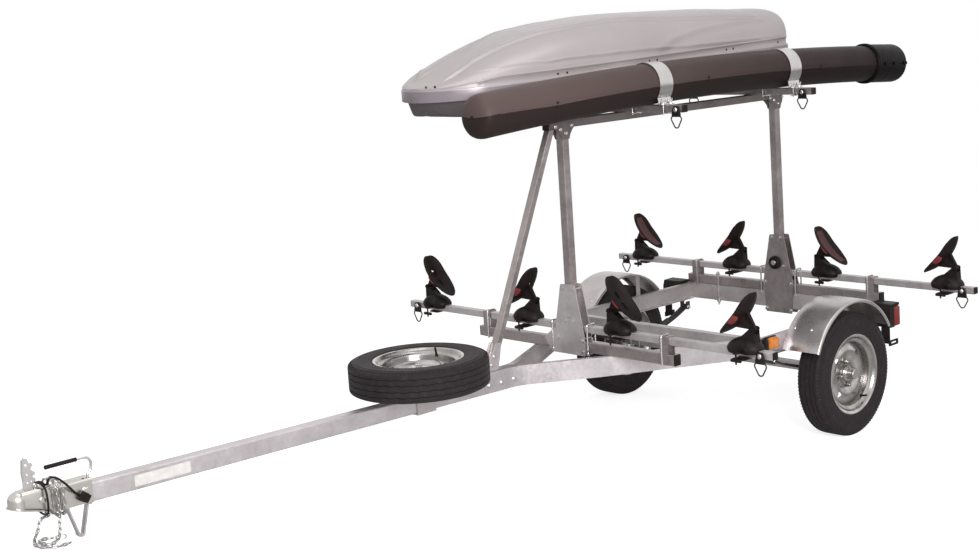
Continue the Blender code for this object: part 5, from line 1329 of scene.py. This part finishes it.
def lidShape():
    xs = boxXs()
    inside = [min(max(x, xs[-1] + 0.006), xs[0] - 0.006) for x in xs]
    inner = [lidRing(x, 0.0045) for x in inside]
    return twoSkins([lidRing(x) for x in xs], inner, filled=True, band=3)


def baseRing(x, inset=0.0):
    half, _, rise, _ = boxSection(x)
    half = half - box["inset"] - inset
    back = box["tuck"] * smoothstep(0.25, boxStations[0][0], x)
    bottom = box["floor"] + rise + inset
    rim = splitAt(x) - 0.0004
    deep = rim - bottom
    wall = ((1.0, 0.12), (0.992, 0.24), (0.985, 0.36), (0.972, 0.6), (0.955, 0.8), (0.935, 0.91),
            (0.905, 0.975))
    line = [(-1.0, rim)] + [(-share, rim - drop * deep) for share, drop in wall]
    line += [(-0.86, bottom), (-0.72, bottom)]
    line += [(-0.7, bottom + 0.004), (-0.4, bottom + 0.004), (-0.38, bottom), (-0.12, bottom),
             (-0.1, bottom + 0.004)]
    points = []
    for share, height in line:
        under = (rim - height) / deep
        points.append((x - back * (0.7 + 0.6 * under), box["y"] + half * share, height))
    return points + [(px, 2 * box["y"] - py, pz) for px, py, pz in points[::-1]]


def tubShape():
    xs = boxXs()
    front, rear = xs[0], xs[-1]
    inner = []
    for x in xs:
        ring = baseRing(x, 0.0045)
        if x > front - 0.02:
            inner.append([(px - 0.006, py, pz) for px, py, pz in ring])
        else:
            inner.append([(max(px, rear + 0.006), py, pz) for px, py, pz in ring])
    return twoSkins([baseRing(x) for x in xs], inner, filled=True)


lid = lidShape()
for x in box["screws"]:  # pairs of screws in the recess above the rim
    slope = (boxSection(x + 0.002)[0] - boxSection(x - 0.002)[0]) / 0.004
    for side in (1,) if x > 0.4 else (1, -1):
        out = boxSection(x)[0] - 0.0062 - box["recess"]
        spot = (x, box["y"] + side * out, splitAt(x) + box["lip"] + 0.013)
        lid += rivet(0.0048, look=1).facing(spot, (-slope, side, 0))
piece("box_lid_shell", lid, [lidPlastic, capPlastic, rimPlastic], "lid", ["cargo_box_lid"],
      soft=32)
piece("box_base_tub", tubShape(), basePlastic, "frame", ["cargo_box_base"], soft=36)
print("cargo box made")


# rod tube, slip-on cap and straps
pipe = {"y": 0.182, "radius": 0.085, "wall": 0.005, "crest": -0.81, "droopFront": 0.027,
        "droopRear": 0.024, "nose": 0.642, "noseLength": 0.06, "end": -1.985, "sides": 72, "seam": -3.5,
        "topBars": (-0.346, -1.226), "barTop": 0.8868,
        "tip": ((0.01, 1.0), (0.022, 0.985), (0.033, 0.955), (0.042, 0.9), (0.049, 0.82), (0.054, 0.7),
                (0.0575, 0.55), (0.0595, 0.35), (0.06, 0.12))}
cap = {"front": -1.875, "end": -2.13, "ring": -1.892, "wall": 0.004}


def pipeMiddle(x):
    along = x - pipe["crest"]
    droop = (pipe["droopFront"] if along > 0 else pipe["droopRear"]) * along * along
    rest = pipe["topBars"][0] - pipe["crest"]
    return pipe["barTop"] + 0.0003 + pipe["radius"] + pipe["droopFront"] * rest * rest + 0.0002 - droop


def pipeSpot(x, angle, out=0.0):
    radius = pipe["radius"] + out
    return Vector((x, pipe["y"] + radius * cos(angle), pipeMiddle(x) + radius * sin(angle)))


def pipeRing(x, radius):
    turns = [2 * pi * k / pipe["sides"] for k in range(pipe["sides"])]
    return [(x, pipe["y"] + radius * cos(a), pipeMiddle(x) + radius * sin(a)) for a in turns]


def seamAngle(x):
    # the seam climbs a little towards the nose
    return radians(pipe["seam"] + 9.0 * smoothstep(0.24, 0.62, x))


def pipeShape():
    start = pipe["nose"] - pipe["noseLength"]
    spots = []
    for step in range(41):
        spots.append((pipe["end"] + (start - pipe["end"]) * step / 40, 1.0))
    spots += [(start + x, share) for x, share in pipe["tip"]]
    rings = [pipeRing(x, pipe["radius"] * share) for x, share in spots]
    thin = 1 - pipe["wall"] / pipe["radius"]
    inside = []
    for x, share in spots:
        inside.append(pipeRing(x - (pipe["wall"] if share < 1 else 0), pipe["radius"] * (share * thin)))
    shape = loft(rings[::-1] + inside)
    # the half above the seams takes the lighter look, a painted light on the pipe's top half
    for index, corners in enumerate(shape.faces):
        middle = sum((Vector(shape.points[k]) for k in corners), Vector()) / len(corners)
        height = middle.z - pipeMiddle(middle.x)
        across = abs(middle.y - pipe["y"])
        if atan2(height, across) > seamAngle(middle.x):
            shape.looks[index] = 1
    for side in (1, -1):  # moulded seam along each side
        path = []
        for step in range(61):
            x = pipe["end"] + 0.2 + (start - pipe["end"] - 0.204) * step / 60
            path.append(pipeSpot(x, seamAngle(x) if side > 0 else pi - seamAngle(x)))
        # painted highlight: the seam ridges take the lighter look as a bright line along each seam
        shape += sweep(path, roundedBox(0.0066, 0.0064, 0.0026, 3), look=1, side=(0, side, 0))
    for x in (0.28, -0.62, -1.42):  # small clips that close the seam
        angle = seamAngle(x)
        clip = prism(roundedBox(0.024, 0.009, 0.003, 3), "z", 0.0, 0.0022)
        shape += clip.facing(pipeSpot(x, angle, 0.0008), (0, cos(angle), sin(angle)), pi / 2)
    return shape


def capShape():
    middle = (cap["front"] + pipe["end"]) / 2
    slope = (pipeMiddle(middle + 0.05) - pipeMiddle(middle - 0.05)) / 0.1
    bore = pipe["radius"] / cos(pi / 20) + 0.0022
    wide = bore + cap["wall"]
    front, end, ring = cap["front"] - middle, cap["end"] - middle, cap["ring"] - middle
    profile = [(bore, front), (wide - 0.001, front), (wide, front - 0.001), (wide, ring + 0.011),
               (wide + 0.0036, ring + 0.008), (wide + 0.004, ring + 0.006),
               (wide + 0.004, ring - 0.006), (wide + 0.0036, ring - 0.008),
               (wide - 0.0005, ring - 0.011), (wide - 0.0002, end + 0.02),
               (wide - 0.0015, end + 0.0125), (wide - 0.005, end + 0.007),
               (wide - 0.0105, end + 0.0045), (wide - 0.018, end + 0.004), (0.03, end + 0.0045),
               (0.028, end + 0.0068), (0.015, end + 0.0066), (0.0135, end + 0.003),
               (0.012, end + 0.0004), (0, end + 0.0002)]
    hollow = [(0, end + 0.012), (bore - 0.012, end + 0.014), (bore, end + 0.034)]
    shape = turned(hollow + profile, 72)
    for side in (1, -1):  # rib along each side, with three lugs
        path = [Vector((wide * side, 0, end + 0.02 + (front - end - 0.03) * k / 12)) for k in range(13)]
        shape += sweep(path, roundedBox(0.005, 0.006, 0.002, 3), side=(side, 0, 0))
        for along in (ring - 0.05, ring - 0.125, end + 0.03):
            lug = prism(roundedBox(0.016, 0.026, 0.004, 3), "z", 0, 0.006)
            shape += lug.facing((wide * side, 0, along), (side, 0, 0))
    # its axis, +Z here, runs forward along the pipe
    place = Matrix.Translation((middle, pipe["y"], pipeMiddle(middle)))
    place @= Matrix.Rotation(-atan(slope), 4, "Y")
    return shape, place @ Matrix.Rotation(pi / 2, 4, "Y") @ Matrix.Rotation(pi / 2, 4, "Z")


piece("rod_tube_pipe", pipeShape(), [tubeDark, tubePaintedLitTop], "frame", ["rod_tube"], soft=40)
tubeEnd, tubeEndPlace = capShape()
piece("rod_tube_end", tubeEnd, capDark, "tube_cap", ["rod_tube_cap"], tubeEndPlace, soft=40)

strapSize = {"width": 0.08, "sheet": 0.003, "fit": 0.0012, "reach": 0.075, "foot": 0.018,
             "sweep": radians(256), "bolts": (-0.0235, 0.0235)}


def wingNut(look):
    boss = [(0, 0), (0.0062, 0), (0.0062, 0.002), (0.0048, 0.006), (0.0036, 0.007), (0.003, 0.0075),
            (0.003, 0.013), (0, 0.0135)]
    wing = [(0.003, 0.002), (0.0075, 0.004), (0.012, 0.014), (0.0125, 0.02), (0.01, 0.0215),
            (0.008, 0.018), (0.003, 0.0085)]
    shape = turned(boss, 16, look=look)
    for side in (1, -1):
        shape += prism([(side * x, z) for x, z in wing], "y", -0.0013, 0.0013, look)
    return shape


def strapShape(x):
    centre = (pipe["y"], pipeMiddle(x))
    radius = pipe["radius"] + 0.0014 + strapSize["fit"] + strapSize["sheet"] / 2
    footZ = pipe["barTop"] + 0.0003 + strapSize["sheet"] / 2
    start = (pi - strapSize["sweep"]) / 2
    over = arc(centre, radius, start, start + strapSize["sweep"], 64)
    reach, tail = strapSize["reach"], strapSize["foot"]
    foot = ((reach + tail, footZ), (reach + 0.003, footZ), (reach + 0.0006, footZ + 0.001))
    near = [(centre[0] + out, z) for out, z in foot]
    far = [(centre[0] - out, z) for out, z in foot[::-1]]
    outline = strip(near + over + far, strapSize["sheet"])
    shape = prism(outline, "x", -strapSize["width"] / 2, strapSize["width"] / 2)
    for side in (1, -1):
        for off in strapSize["bolts"]:
            spot = (off, pipe["y"] + side * (reach + 0.01), footZ + strapSize["sheet"] / 2)
            shape += wingNut(look=1).facing(spot, (0, 0, 1), 0.5 * side + off * 20)
            # the bolt goes down beside the bar to a clamp plate below it
            shape += rod((off, spot[1], pipe["barTop"] - 0.04), (off, spot[1], footZ), 0.0028, 10, look=1)
        clamp = roundedBox(0.064, 0.022, 0.003, 3, (0, spot[1]))
        shape += prism(clamp, "z", pipe["barTop"] - 0.0352, pipe["barTop"] - 0.0322, look=1)
    return shape


for label, x in zip(("front", "rear"), pipe["topBars"]):
    piece(label + "_tube_band", strapShape(x), [plated, plated], "frame", [label + "_tube_strap"],
          Matrix.Translation((x, 0, 0)), soft=35)
print("rod tube made")


# hitch end: coupler, latch, handle and parking foot
nose = {"ballX": 2.424, "ballZ": -0.086, "dome": 0.029, "rise": 0.0352, "latchX": 2.362, "latchZ": -0.0475}


def couplerShape():
    half = tongueWidth / 2 + 0.0003
    outer = half + sleeve["sheet"]
    line = [(-half - 0.0001, sleeve["bottom"]), (-outer, sleeve["bottom"]), (-outer, sleeve["top"] - 0.006)]
    line += arc((-outer + 0.006, sleeve["top"] - 0.006), 0.006, pi, pi / 2, 5)
    line += [(-p, z) for p, z in line[::-1]]
    inner = [(half, sleeve["bottom"]), (half, sleeve["top"] - sleeve["sheet"]),
             (-half, sleeve["top"] - sleeve["sheet"])]
    shape = prism(line[1:-1] + inner + [(-half, sleeve["bottom"])], "x", sleeve["rear"],
                  sleeve["front"] - 0.02)
    # pressed channel that ends in a dome over the ball, with a turned-out lip along its lower edge
    front, slope = sleeve["front"], atan2(0.029, 0.106)
    top, ridge = sleeve["top"], sleeve["noseTop"]
    steps = ((front - 0.05, outer - 0.0005, top - 0.0005, -0.1335, 0.006),
             (front - 0.0205, outer - 0.0005, top - 0.0005, -0.133, 0.006),
             (front - 0.0195, outer, top + 0.0015, -0.132, 0.008),
             (front - 0.008, outer, ridge - 0.001, -0.129, 0.009),
             (front + 0.008, outer, ridge + 0.0005, -0.124, 0.009),
             (2.375, 0.0295, -0.0535, -0.118, 0.009),
             (2.4, 0.0272, -0.0528, -0.1115, 0.01),
             (2.418, 0.0262, -0.053, -0.1068, 0.011))
    stations = []
    for x, wide, high, low, corner in steps:
        outline = roundedBox(2 * wide, high - low, corner, 6, (0, (high + low) / 2))
        stations.append([(x, y, z) for y, z in outline])
    hollow = [(0.0, 0.0255)]
    hollow += [(0.0252 * cos(a), 0.0255 * sin(a)) for a in [radians(90 - k * 15) for k in range(1, 7)]]
    hollow += [(0.0245, -0.008), (0.024, -0.06), (0, -0.06)]
    socket = turned(hollow, 36).moved((nose["ballX"], 0, nose["ballZ"]))
    low, wall = nose["rise"] - nose["dome"], nose["dome"]
    turns = [radians(k * 10) for k in range(9)]
    curve = [(wall * cos(a), low + (nose["rise"] - low) * sin(a)) for a in turns]
    dome = turned([(0, nose["rise"])] + curve[::-1] + [(wall, -0.03), (0, -0.03)], 48)
    dome = dome.moved((nose["ballX"], 0, nose["ballZ"]))
    tilted = Matrix.Translation((front, 0, -0.127)) @ Matrix.Rotation(-slope, 4, "Y")
    tilted @= Matrix.Translation((-front, 0, 0))
    cut = block((front - 0.02, -0.08, -0.08), (2.52, 0.08, 0.0)).by(tilted)
    shape += carve(loft(stations), socket) + carve(dome, socket + cut)
    lip = [(front - 0.004, outer + 0.0035), (front - 0.004, -outer - 0.0035)]
    lip += arc((nose["ballX"], 0), wall + 0.008, -pi / 2, pi / 2, 24)
    opening = prism(circle(0.025, 36, (nose["ballX"], 0)), "z", -0.01, 0.01)
    shape += carve(prism(lip, "z", -0.002, 0.002), opening).by(tilted)
    for side in (1, -1):
        edge = min(side * 0.0024, side * 0.0056)
        ear = [(nose["latchX"] - 0.0065, ridge - 0.002), (nose["latchX"] + 0.0065, ridge - 0.002)]
        ear += arc((nose["latchX"], nose["latchZ"]), 0.006, 0, pi, 10)
        shape += prism(ear, "y", edge, edge + 0.0032)
        shape += rivet(0.0034).facing((nose["latchX"], side * 0.0056, nose["latchZ"]), (0, side, 0))
        shape += bolt(0.01).facing((2.357, side * 0.0306, -0.09), (0, side, 0))
        shape += bolt(0.011).facing((2.214, side * outer, -0.097), (0, side, 0))
    hole = turned([(0, 0), (0.004, 0), (0.0044, 0.0008), (0, 0.001)], 16, look=1)
    return shape + hole.moved((2.212, 0.014, top))


def latchShape():
    outline = [(0.04, -0.0045), (0.04, 0.0), (0.032, 0.0945), (0.018, 0.0885), (0.014, 0.074),
               (0.006, 0.074), (0.002, 0.066), (0.01, 0.054)]
    for middle in (0.04, 0.02):
        outline += [(0.004, middle + 0.008), (-0.003, middle + 0.003), (-0.003, middle - 0.005),
                    (0.006, middle - 0.01)]
    outline += [(-0.004, 0.006), (-0.005, 0.0), (-0.0035, -0.0045)]
    holes = nothing
    for x, z, radius in ((0.0, 0.0, 0.0024), (0.023, 0.04, 0.003), (0.023, 0.014, 0.003),
                         (0.01, 0.016, 0.0026), (0.024, 0.07, 0.004)):
        holes += prism(circle(radius, 18, (x, z)), "y", -0.01, 0.01)
    shape = carve(prism(outline, "y", -0.002, 0.002), holes)
    lever = prism(strip([(0.036, 0.02), (0.0385, 0.045), (0.034, 0.088)], 0.003), "y", -0.0055, 0.0055)
    return shape + lever


def handleShape():
    gripZ, y = 0.004, 0.016
    bend = arc((2.206, gripZ - 0.025), 0.025, pi / 2, pi, 8)
    path = [(2.228, gripZ), (2.215, gripZ)] + bend
    path += [(2.184, -0.04), (2.19, -0.046), (2.196, -0.05), (2.197, -0.056), (2.197, sleeve["top"] + 0.0004)]
    shape = tube([(x, y, z) for x, z in path], 0.0045, 14, look=1)
    grip = [(0, 0), (0.0055, 0), (0.007, 0.002)]
    for step in range(12):
        rib = step * 0.008
        grip += [(0.007, 0.006 + rib), (0.0063, 0.0075 + rib), (0.0063, 0.01 + rib), (0.007, 0.0115 + rib)]
    grip += [(0.007, 0.1035), (0.0055, 0.106), (0, 0.106)]
    return shape + turned(grip, 20).facing((2.228, y, gripZ), (1, 0, 0))


def footShape():
    sheet = 0.005
    under = -0.14 + (2.18 - 0.4) * tan(tongueTilt) - 0.031
    seat = under - 0.0003 - sheet / 2
    path = [(2.2785, seat), (2.269, seat), (2.2665, seat - 0.002), (2.264, seat - 0.012)]
    path += arc((foot["x"], foot["z"]), foot["bend"] - sheet / 2, radians(15), radians(-190), 24)
    path += [(2.202, seat - 0.01), (2.1995, seat - 0.002), (2.196, seat), (2.18, seat)]
    shape = prism(strip(path, sheet), "y", -0.011, 0.011)
    for x in (2.187, 2.274):
        shape += bolt(0.007, look=1).facing((x, 0, seat - sheet / 2), (0, 0, -1))
    return shape


piece("hitch_coupler", couplerShape(), [couplerZinc, capPlastic], "frame", ["coupler_body"], soft=38)
latchPlace = Matrix.Translation((nose["latchX"], 0, nose["latchZ"]))
piece("hitch_latch", latchShape(), plated, "latch", ["coupler_latch"], latchPlace, soft=30,
      bevel=0.0005)
piece("hitch_handle", handleShape(), [plastic, plated], "frame", ["lift_handle"], soft=40)
piece("parking_foot", footShape(), [steel, plated], "frame", ["tongue_stand"], soft=35,
      bevel=0.0008)
print("hitch made")


# fittings that only the scene has: end caps, rings, bolts, a knob, a panel and U-bolts
def endCap(width, height, depth):
    rings = [(0.0, 1.0), (depth - 0.0012, 1.0), (depth, 0.93)]
    return loft([[(x * s, y * s, z) for x, y in roundedBox(width, height, 0.003)] for z, s in rings])


def sideways(shape, place, side):
    # a shape whose own Z points out to one side; its X stays along the trailer
    turn = Matrix(((1, 0, 0), (0, 0, side), (0, 1, 0))).to_4x4()
    return shape.by(Matrix.Translation(Vector(place)) @ turn)


barEnd = 1.031
caps = nothing
for x in (0.0, rearX):
    for side in (1, -1):
        caps += sideways(endCap(0.0285, 0.0285, 0.0042), (x, side * barEnd, 0), side)
        caps += sideways(endCap(0.0375, 0.0435, 0.0045), (x, side * 0.557, -0.073), side)
for x in pipe["topBars"]:
    for side in (1, -1):
        caps += sideways(endCap(0.03, 0.03, 0.0045), (x, side * 0.36, pipe["barTop"] - 0.0155), side)
caps += endCap(0.038, 0.0335, 0.0045).facing((0.09, 0, 0.8385), (1, 0, 0), pi / 2)
piece("bar_end_caps", caps, capPlastic, "frame", soft=35)

dRing = {"wire": 0.0058, "halfWidth": 0.03, "top": -0.026, "low": -0.074, "corner": 0.012, "lug": 0.02,
         "stand": 0.0051}


def dRingShape():
    # rounded triangle that hangs from a webbing lug; its plane is XZ and the lug's bolt is at the origin
    half, corner = dRing["halfWidth"] - dRing["wire"] / 2, dRing["corner"]
    path = arc((corner - half, dRing["top"] - corner), corner, pi * 1.06, pi * 0.5, 6)
    path += arc((half - corner, dRing["top"] - corner), corner, pi * 0.5, -pi * 0.06, 6)
    path += arc((0, dRing["low"] + corner * 1.1), corner * 1.1, -0.62, -pi + 0.62, 9)
    ring = tube([(x, 0, z) for x, z in path], dRing["wire"] / 2, 12, loop=True, look=1)
    wide = dRing["lug"]
    lug = arc((0, 0), wide * 0.78, 0, pi, 14)
    lug += [(-wide, -0.016), (-wide - 0.001, -0.029), (wide + 0.001, -0.029), (wide, -0.016)]
    return ring + prism(lug, "y", -0.0048, 0.0048) + rivet(0.01, look=2).facing((0, 0.0048, 0), (0, 1, 0))


rings = nothing
frontFacing = (0, 0, -pi / 2)
for x in (0.0, rearX):
    for side in (1, -1):
        rings += dRingShape().moved((x + 0.015 + dRing["stand"], side * 0.978, -0.003), frontFacing)
for x, y in zip(pipe["topBars"], (0.332, 0.314)):
    for side in (1, -1):
        place = (x + 0.0155 + dRing["stand"], side * y, pipe["barTop"] - 0.019)
        rings += dRingShape().moved(place, frontFacing)
piece("tie_down_rings", rings, [capPlastic, paint, plated], "frame", soft=40)

# bolts through the gusset plates, seen from the front and the back
bolts = nothing
postFace = 0.0193
plateFace = postFace + 0.0035
frontBolts = ((-0.026, 0.162), (0.026, 0.162), (0, 0.047), (-0.025, 0.028), (0.025, 0.029), (-0.07, -0.05),
              (0.07, -0.05), (0.075, -0.095))
rearBolts = ((-0.024, 0.168), (0.024, 0.168), (0, 0.048), (0.034, 0.031), (-0.034, 0.031), (-0.074, -0.052),
             (0.074, -0.052), (-0.07, -0.18), (0.07, -0.18))
for x, spots in ((0.0, frontBolts), (rearX, rearBolts)):
    for y, z in spots:
        size = 0.0095 if abs(y) > 0.03 and z < 0.0 else 0.008
        bolts += bolt(size).facing((x + plateFace, y, z), (1, 0, 0), 0.3)
        bolts += nut(size, 0.006).facing((x - plateFace, y, z), (-1, 0, 0), 0.2)
# bolts on both sides: head plates under the top rail, the brace's foot, and the rail noses on the tongue
plateSpots = ((0.058, 0.83), (0.03, 0.817), (-0.034, 0.829), (0.0, 0.8))
headSpots = [(x + off, z) for x in (0.0, rearX) for off, z in plateSpots if x + off > -1.448]
footSpots = ((0.462, -0.03), (0.478, -0.062), (0.497, -0.092))
noseSpots = ((0.505, -0.136), (0.44, -0.136), (0.375, -0.136))
for size, out, spin, spots in ((0.007, postFace + 0.003, 0.4, headSpots), (0.008, 0.0194, 0.2, footSpots),
                               (0.009, 0.029, 0.1, noseSpots)):
    for x, z in spots:
        for side in (1, -1):
            bolts += bolt(size).facing((x, side * out, z), (0, side, 0), spin)
piece("plate_bolts", bolts, plated, "frame", soft=30)

# round knob on the rear gusset's front face
knobRim = ((0.03, 0.0002), (0.0312, 0.004), (0.0312, 0.012), (0.0285, 0.0175), (0.0225, 0.02),
           (0.019, 0.018), (0.0175, 0.012), (0.0175, 0.0002))
knob = turned(knobRim, 48, loop=True)
knob += turned([(0.015, 0.0002), (0.015, 0.0165), (0.012, 0.0205), (0, 0.0215)], 32, look=1)
knobPlace = Matrix.Translation((rearX + plateFace, -0.01, 0.047)) @ Matrix.Rotation(pi / 2, 4, "Y")
piece("gusset_knob", knob, [capPlastic, plated], "frame", at=knobPlace, soft=40)

# bare pale panel on the tongue's near side
panel = {"x": (1.838, 2.043), "z": -0.116, "height": 0.037}
middle = (panel["x"][0] + panel["x"][1]) / 2
plate = prism(roundedBox(panel["x"][1] - panel["x"][0], panel["height"], 0.004, 4), "y", 0.0001, 0.0007)
panelPlace = Matrix.Translation((middle, tongueWidth / 2, panel["z"])) @ Matrix.Rotation(-tongueTilt, 4, "Y")
piece("bare_panel", plate, paleLabel, "frame", at=panelPlace, soft=30)

# threaded hook bolt in front of the rear cross beam
hookBolt = rod((0, 0, -0.15), (0, 0, 0.012), 0.0042, 12) + nut(0.01, 0.006)
hookBolt += nut(0.01, 0.01).facing((0, 0, -0.128), (0, 0, -1))
hookBolt += block((-0.02, -0.02, -0.128), (0.008, 0.016, -0.1245))
piece("hook_bolt", hookBolt, plated, "frame", at=Matrix.Translation((-1.38, -0.36, -0.04)), soft=35)

# U-bolts over the load bars; the inner ones have a plate and nuts below the cross beams
holders = nothing
for x in (0.0, rearX):
    for y in (-0.5, -0.1, 0.1, 0.5):
        holders += uBolt(0.0465, 0.12, 0.0038).moved((x, y, 0.0212))
        if abs(y) < 0.2:
            holders += prism(roundedBox(0.062, 0.018, 0.003, 3, (x, y)), "z", -0.1, -0.0958)
            for off in (-0.02325, 0.02325):
                holders += hexHead(0.012, 0.006).moved((x + off, y, -0.1062))
piece("bar_u_bolts", holders, plated, "frame", soft=35)
print("fittings made")


# floor, backdrop and light
studio = {"glow": 0.74, "dim": 0.3,
          "overhead": {"place": (0.6, 0.2, 4.6), "target": (0.2, 0.0, 0.6), "size": 3.0, "power": 46.0},
          "nearSide": {"place": (3.4, 5.5, 2.5), "target": (0.4, 0.0, 1.0), "size": 2.6, "power": 400.0}}


def makeStage():
    sheet = bpy.data.meshes.new("studio_floor")
    sheet.from_pydata([(-40, -40, 0), (40, -40, 0), (40, 40, 0), (-40, 40, 0)], [], [(0, 1, 2, 3)])
    floor = intoScene("studio_floor", sheet)
    floor.location.z = -0.0005
    look = Look("studio_floor", Base_Color=(0.8, 0.8, 0.8), Roughness=0.9, Specular_IOR_Level=0.1)
    seen = look.node("LightPath", output="Is Camera Ray")
    glow = look.node("Emission", {}, {"Color": (1, 1, 1), "Strength": studio["glow"]})
    extra = look.node("MixShader", {}, {0: seen, 1: look.node("Emission", {}, {"Strength": 0.0}), 2: glow})
    both = look.node("AddShader", {}, {0: Wire(look, look.shader.outputs[0]), 1: extra})
    look.tree.links.new(both.socket, look.tree.nodes["Material Output"].inputs["Surface"])
    sheet.materials.append(look.material)

    world = bpy.data.worlds.new("studio")
    bpy.context.scene.world = world
    world.use_nodes = True
    tree = world.node_tree
    tree.nodes.clear()
    # white to the camera, to glossy and to transmitted rays, and dimmer as light
    path = tree.nodes.new("ShaderNodeLightPath")
    shown = path.outputs["Is Camera Ray"]
    for ray in ("Is Transmission Ray", "Is Glossy Ray"):
        either = tree.nodes.new("ShaderNodeMath")
        either.operation = "MAXIMUM"
        tree.links.new(shown, either.inputs[0])
        tree.links.new(path.outputs[ray], either.inputs[1])
        shown = either.outputs[0]
    mix = tree.nodes.new("ShaderNodeMixShader")
    tree.links.new(shown, mix.inputs[0])
    for spot, strength in ((1, studio["dim"]), (2, 1.0)):
        white = tree.nodes.new("ShaderNodeBackground")
        white.inputs["Color"].default_value = (1, 1, 1, 1)
        white.inputs["Strength"].default_value = strength
        tree.links.new(white.outputs[0], mix.inputs[spot])
    out = tree.nodes.new("ShaderNodeOutputWorld")
    tree.links.new(mix.outputs[0], out.inputs[0])


def areaLamp(name, place, target, size, power):
    data = bpy.data.lights.new(name, "AREA")
    data.shape = "SQUARE"
    data.size = size
    data.energy = power
    light = intoScene(name, data)
    light.location = place
    light.rotation_euler = (Vector(target) - Vector(place)).to_track_quat("-Z", "Y").to_euler()


makeStage()
areaLamp("overhead_softbox", **studio["overhead"])
areaLamp("near_side_softbox", **studio["nearSide"])
bpy.context.scene.view_settings.view_transform = "Standard"
print("stage and lights made")
